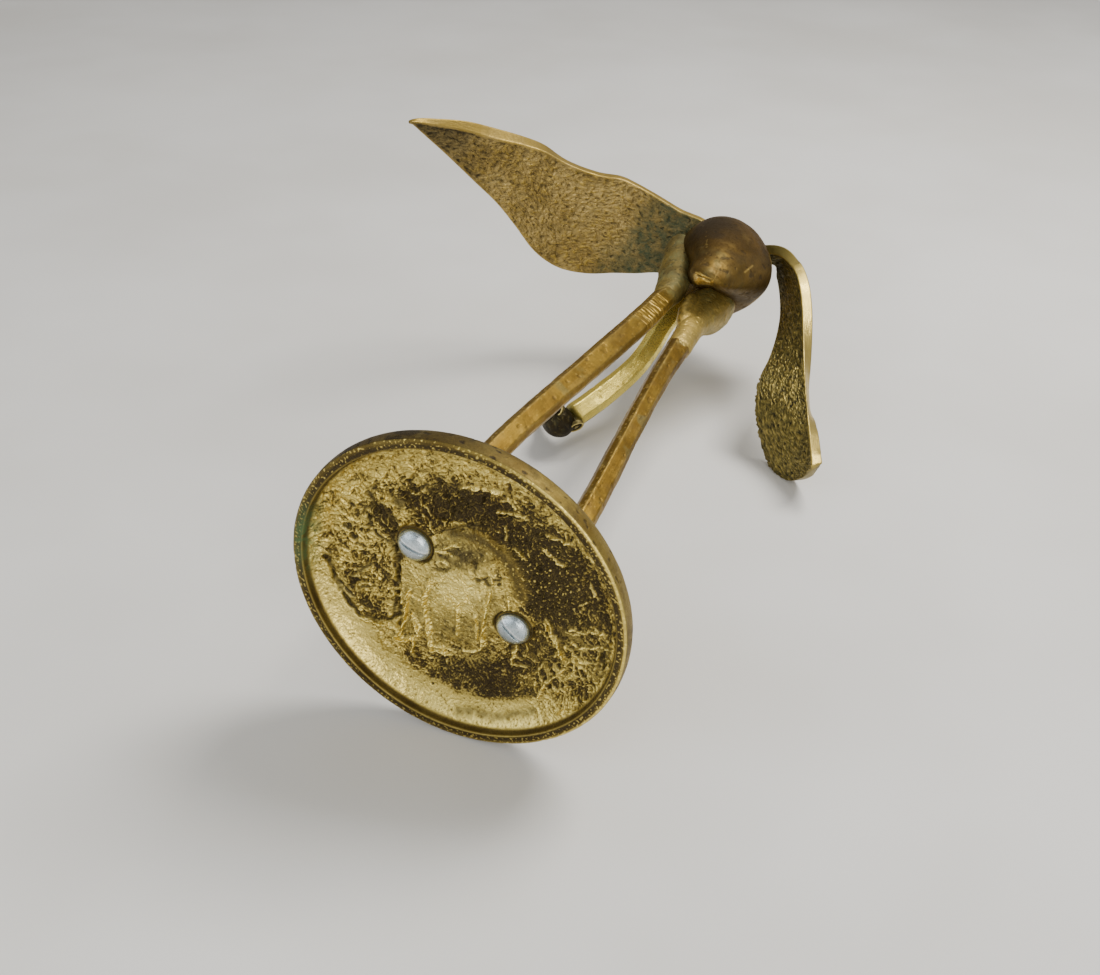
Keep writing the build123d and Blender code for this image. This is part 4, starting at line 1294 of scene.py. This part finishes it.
# thickness at even steps along the span, and overhang of the upper trailing corner per station
LEFT_THICKNESS = (3.8, 3.8, 3.8, 4.2, 4.8, 5.0, 4.6, 3.4, 2.2)
RIGHT_THICKNESS = (4.0, 4.4, 4.8, 5.0, 4.8, 4.4)
LEFT_FLARE = (0, 0, 0, 0, 0, 0, 0, 0.3, 1.6, 2.2, 3.0, 2.5, 1.5, 0)
RIGHT_FLARE = (0,) * len(RIGHT_WING)
NOWHERE = (1000, 1001)       # a ramp that is never reached


def wing_grid(stations, thickness, flare):
    """Flat strips with rounded corners: underside, leading edge, top, trailing edge.
    Returns grid, span, chord, height, and the chord length, thickness and overhang of rows."""
    table = catmull([trail + lead + (over,) for (trail, lead), over in zip(stations, flare)], 30)
    middle = (table[:, :3] + table[:, 3:6]) / 2
    count = 560
    span = np.linspace(0, lengths(middle)[-1], count)[:, None]
    rows = resample(np.column_stack([middle, table]), count)
    trail, lead, over = rows[:, 3:6], rows[:, 6:9], np.maximum(rows[:, 9:], 0)
    chordwise = lead - trail
    length = np.linalg.norm(chordwise, axis=1)[:, None]
    chordwise = chordwise / length
    normal = unit(np.cross(unit(np.gradient(rows[:, :3], axis=0)), chordwise))
    normal = np.where(normal[:, 2:] < 0, -normal, normal)
    thick = np.interp(np.linspace(0, 1, count), np.linspace(0, 1, len(thickness)),
                      thickness)[:, None]
    face_steps, edge_steps = 210, 22
    face = np.linspace(0, 1, face_steps)
    edge = np.linspace(0, 1, edge_steps + 2)[1:-1]
    chord = np.concatenate([face, np.ones(edge_steps), face[::-1], np.zeros(edge_steps)]) * length
    height = np.concatenate([np.zeros(face_steps), edge, np.ones(face_steps), edge[::-1]]) * thick
    # pull points that lie outside the corner arcs back onto them
    corner = np.minimum(np.minimum(0.55, 0.32 * thick), 0.42 * length)
    inner_chord = np.clip(chord, corner, length - corner)
    inner_height = np.clip(height, corner, thick - corner)
    out_chord, out_height = chord - inner_chord, height - inner_height
    pull = np.minimum(1, corner / np.maximum(np.hypot(out_chord, out_height), 1e-9))
    chord, height = inner_chord + out_chord * pull, inner_height + out_height * pull
    leaning = chord - over * (height / thick) * (1 - chord / length)
    grid = (trail[:, None] + leaning[..., None] * chordwise[:, None]
            + height[..., None] * normal[:, None])
    return grid, chordwise, span, chord, height, length, thick, over


def wing(name, node, finish, stations, thickness, flare, seed, pit, low, lit, shade, shade_to,
         root, tip, band, band_from, band_dark, cell, grain, ragged=None):
    """pit, low, lit: amounts of dark pits, dark hollows and bright crests on the underside.
    shade, shade_to: darkness near the root, and the span over which it fades.
    root: view-plane ramp into the green root; tip: span share over which the tip darkens.
    band, band_from, band_dark: polish of the trailing edge, the span it starts over, its shadow.
    cell, grain: feature sizes. ragged: (start, end, depth) of an unfiled leading edge."""
    grid, chordwise, span, chord, height, length, thick, over = wing_grid(
        stations, thickness, flare)
    total = span[-1, 0]
    under = bell(height, 0.10 * thick + 0.05)
    top = bell(thick - height, 0.10 * thick + 0.05)
    rim = clamp(1 - under - top)
    from_lead = length - chord
    near = np.minimum(chord, from_lead)
    flat = points(span, chord, seed)
    warped = flat + points(0.9 * noise(flat, 6, seed), 0.9 * noise(flat, 6, seed + 1), 0)
    dash = winding(warped, cell, seed + 2, 1.5)
    fine_dash = winding(warped, np.array(cell) * 0.55, seed + 3, 1.5)
    right, down = in_view(grid)
    root = ease(right + 0.7 * down + 2.25 * noise(flat, 9, seed + 30), *root)
    tip = ease(span / total + 0.04 * noise(flat, 8, seed + 31), *tip)
    calm = 1 - 0.55 * root
    fine = cloud(flat, (1.3, 0.8, 1.0), seed + 4)
    broad = cloud(flat, (16, 9, 1), seed + 5)
    feather = noise(warped, (26, 3.4, 1.0), seed + 6)
    lumps = cloud(warped, (4.8, 3.2, 1.0), seed + 32, octaves=2)
    grain = cloud(warped, grain, seed + 33)
    inside = under * ease(near, 0.2, 1.6)
    pits = patch(warped, (2.4, 1.5, 1), seed + 7, 0.18, 0.42) * inside
    beads = ease(noise(flat, (1.2, 0.8, 1), seed + 8), 0.4, 0.7) * inside
    push = inside * (0.30 * broad + 0.10 * feather
                     + calm * (0.36 * lumps - 0.20 * dash - 0.12 * fine_dash + 0.12 * fine
                               + 0.46 * grain)) - 0.30 * pits + 0.16 * beads
    # rounded quills scored along the span on the smooth upper face
    quill = np.abs(noise(warped, (60, 6.0, 1.0), seed + 9))
    push += top * ease(near, 0.4, 2.5) * (0.14 * cloud(flat, (14, 8, 1), seed + 10)
                                          - 0.16 * bell(quill, 0.07) + 0.02 * fine)
    push += rim * (0.07 * cloud(flat, (4, 2, 1), seed + 11)
                   + 0.03 * noise(flat + points(0, 0, height * 3), (3, 1, 0.8), seed + 12))

    # hollows and pits dark, crests bright, the root green
    hollow = calm * clamp(0.40 * dash + 0.25 * fine_dash - 0.4 * lumps - 0.10
                          + 0.85 * ease(-grain - 0.2 * fine, -0.02, 0.34))
    dark = (under * (pit * pits + low * hollow + 0.15 * ease(broad, 0.1, 0.5))
            + top * (0.25 * patch(flat, 9, seed + 13, 0.1, 0.5) + 0.5 * bell(quill, 0.06)))
    crest = (1 - dash) * (1 - 0.7 * fine_dash) * ease(fine + 0.5 * broad, -0.15, 0.45)
    bright = under * lit * (1 - 0.6 * root) * (1 - 0.5 * tip) * (
        (0.22 + 0.4 * lumps) * crest + 0.42 * ease(grain, 0.04, 0.40) + 0.30 * beads) + top * 0.18
    green = under * (0.10 * patch(flat, (12, 8, 1), seed + 14, 0.05, 0.5)
                     + 0.84 * root * clamp(0.9 + 0.4 * cloud(flat, 7, seed + 15)))
    # darker at the root and the tip, with a painted shadow along the trailing edge under the band
    dark += under * (0.85 + 0.3 * fine) * (0.42 * root + 0.76 * tip
                                           + 0.25 * bell(chord, 2.2) * (chord > 0.6))
    dark = np.maximum(dark, under * shade * fall(span, *shade_to) * (0.8 + 0.3 * fine))
    # polished trailing edge, duller leading edge, worn corners
    trailing = chord < 0.5 * length
    on_trail, on_lead = rim * trailing, rim * ~trailing
    bright += (on_trail * (band + 0.3 * cloud(flat, (7, 3, 1), seed + 16))
               * (1 - 0.9 * fall(span, *band_from)) + on_lead * 0.12)
    corner = bell(np.minimum(height, thick - height), 0.5) * bell(near, 0.7)
    wear = np.where(trailing, 0.70, 0.40) * clamp(0.75 + 0.6 * noise(flat, 5.0, seed + 17))
    bright = np.maximum(bright, corner * wear)
    dark *= 1 - 0.8 * corner
    dark += band_dark * on_trail * (1 - corner) * ease(over, 0.1, 1.4)
    dark += on_lead * 0.35 * patch(flat, 4, seed + 18, 0.0, 0.4)
    if ragged:
        start, end, depth = ragged
        window = (ease(span, start * total, (start + 0.05) * total)
                  * fall(span, (end - 0.05) * total, end * total))
        reach = window * bell(from_lead, 2.2)
        along = flat * (1, 0, 1)
        bite = depth * (np.abs(noise(along, 2.1, seed + 19)) * 1.3
                        + 0.5 * np.abs(noise(along, 0.9, seed + 20)) - 0.3)
        grid = grid - (bite * reach)[..., None] * chordwise[:, None]
        dark = clamp(dark + 0.35 * reach)
    piece(name, node, finish, grid, push, (dark, bright, green))


wing("wing_left", "left_wing", WING_BRASS, LEFT_WING, LEFT_THICKNESS, LEFT_FLARE, seed=400,
     pit=0.45, low=0.30, lit=1.0, shade=0.0, shade_to=(1, 2), root=(-31.3125, -16.8125),
     tip=(0.66, 0.90), band=0.80, band_from=(2, 6), band_dark=0.60, cell=(3.5, 2.4, 1.0),
     grain=(2.5, 1.35, 1.0))
wing("wing_right", "right_wing", OLIVE_BRASS, RIGHT_WING, RIGHT_THICKNESS, RIGHT_FLARE, seed=450,
     pit=0.6, low=0.5, lit=0.8, shade=0.75, shade_to=(16, 44), root=NOWHERE, tip=NOWHERE,
     band=0.62, band_from=(14, 34), band_dark=0.0, cell=(2.8, 1.5, 1.0), grain=(2.3, 1.1, 1.0),
     ragged=(0.62, 0.97, 1.1))


# ================================================================ floor, light, camera
def support_plane():
    """Normal and offset of the plane the figure lies on: the convex hull's best large face."""
    hull = bmesh.new()
    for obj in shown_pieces():
        co = np.zeros(len(obj.data.vertices) * 3, np.float32)
        obj.data.vertices.foreach_get("co", co)
        co = co.reshape(-1, 3)
        for c in co[::max(1, len(co) // 2500)]:
            hull.verts.new(c)
    bmesh.ops.convex_hull(hull, input=hull.verts)
    hull.normal_update()
    wanted = Vector((-0.555, -0.830, -0.058)).normalized()
    best, best_score = None, -1
    for face in hull.faces:
        agreement = (-face.normal).dot(wanted)
        if agreement > 0.93:
            score = face.calc_area() * (agreement ** 8)
            if score > best_score:
                best, best_score = face, score
    normal = -best.normal.normalized()
    offset = min(normal.dot(v.co) for v in hull.verts)
    hull.free()
    return normal, offset


def floor_material():
    """Pale and matt from above, clear from below."""
    g = Graph("pale floor")
    coord = g.coord()
    weave = g.noise(coord, 1.4, detail=4.0, rough=0.6)
    wide = g.noise(coord, 160.0, detail=3.0)
    colour = g.mix(g.ramp(wide, start=0.3, end=0.7), srgb(222, 220, 215), srgb(232, 231, 228))
    bump = g.node("ShaderNodeBump", Strength=0.08, Distance=0.0005, Height=weave)
    matt = g.node("ShaderNodeBsdfPrincipled", Base_Color=colour, Roughness=0.75,
                  Normal=bump.outputs[0])
    clear = g.node("ShaderNodeBsdfTransparent")
    geometry = g.node("ShaderNodeNewGeometry")
    mix = g.node("ShaderNodeMixShader")
    for k, source in enumerate((geometry.outputs["Backfacing"], matt.outputs[0],
                                clear.outputs[0])):
        g.put(mix.inputs[k], source)
    return g.finish(mix)


def floor(up, offset):
    material = floor_material()
    centre = Vector((0.0, 0.0, 0.12))
    foot = centre - up * (up.dot(centre) - offset)
    side = up.orthogonal().normalized()
    forward = up.cross(side)
    half, gap = 4.0, 0.0003
    corners = [foot + side * a + forward * b - up * gap
               for a, b in ((-half, -half), (half, -half), (half, half), (-half, half))]
    mesh = bpy.data.meshes.new("floor")
    mesh.from_pydata(corners, [], [(0, 1, 2, 3)])
    mesh.update()
    obj = bpy.data.objects.new("floor", mesh)
    if mesh.polygons[0].normal.dot(up) < 0:
        mesh.flip_normals()
    mesh.materials.append(material)
    bpy.context.scene.collection.objects.link(obj)
    obj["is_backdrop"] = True


def soft_world():
    world = bpy.data.worlds.new("soft studio")
    bpy.context.scene.world = world
    world.use_nodes = True
    tree = world.node_tree
    tree.nodes.clear()
    out = tree.nodes.new("ShaderNodeOutputWorld")
    background = tree.nodes.new("ShaderNodeBackground")
    background.inputs["Color"].default_value = (0.85, 0.84, 0.82, 1)
    background.inputs["Strength"].default_value = 0.50
    tree.links.new(background.outputs[0], out.inputs[0])


AIM = Vector((0.0, 0.0, 0.13))       # what the lights point at, in metres


def area(name, offset, size, power, colour):
    light = bpy.data.lights.new(name, "AREA")
    light.shape = "RECTANGLE"
    light.size, light.size_y = size
    light.energy = power
    light.color = colour
    obj = bpy.data.objects.new(name, light)
    up, right, back = offset
    obj.location = AIM + UP * up + RIGHT * right + FLAT_BACK * back
    obj.rotation_mode = "QUATERNION"
    obj.rotation_quaternion = (AIM - obj.location).to_track_quat("-Z", "Y")
    bpy.context.scene.collection.objects.link(obj)


def camera():
    data = bpy.data.cameras.new("camera")
    data.sensor_width = 36.0
    data.lens = 42.545
    data.clip_start = 0.01
    data.clip_end = 20
    obj = bpy.data.objects.new("camera", data)
    bpy.context.scene.collection.objects.link(obj)
    turn = Matrix((CAMERA_RIGHT, CAMERA_UP, CAMERA_BACK)).transposed().to_4x4()
    obj.matrix_world = Matrix.Translation(CAMERA_AT * MM) @ turn
    bpy.context.scene.camera = obj


UP, OFFSET = support_plane()
floor(UP, OFFSET)
soft_world()
RIGHT, BACK = Vector(CAMERA_RIGHT), Vector(CAMERA_BACK)
FLAT_BACK = (BACK - UP * BACK.dot(UP)).normalized()       # towards the camera, along the floor
# offset: metres up from the floor, to the camera's right and back towards the camera
area("key", offset=(0.75, 0.42, -0.20), size=(0.45, 0.35), power=9.0, colour=(1.0, 0.97, 0.92))
area("fill", offset=(0.35, -0.70, 0.45), size=(0.7, 0.7), power=2.6, colour=(0.93, 0.97, 1.0))
area("front", offset=(0.25, 0.15, 0.80), size=(0.5, 0.5), power=2.8, colour=(1.0, 0.97, 0.92))
camera()

bpy.context.view_layer.update()
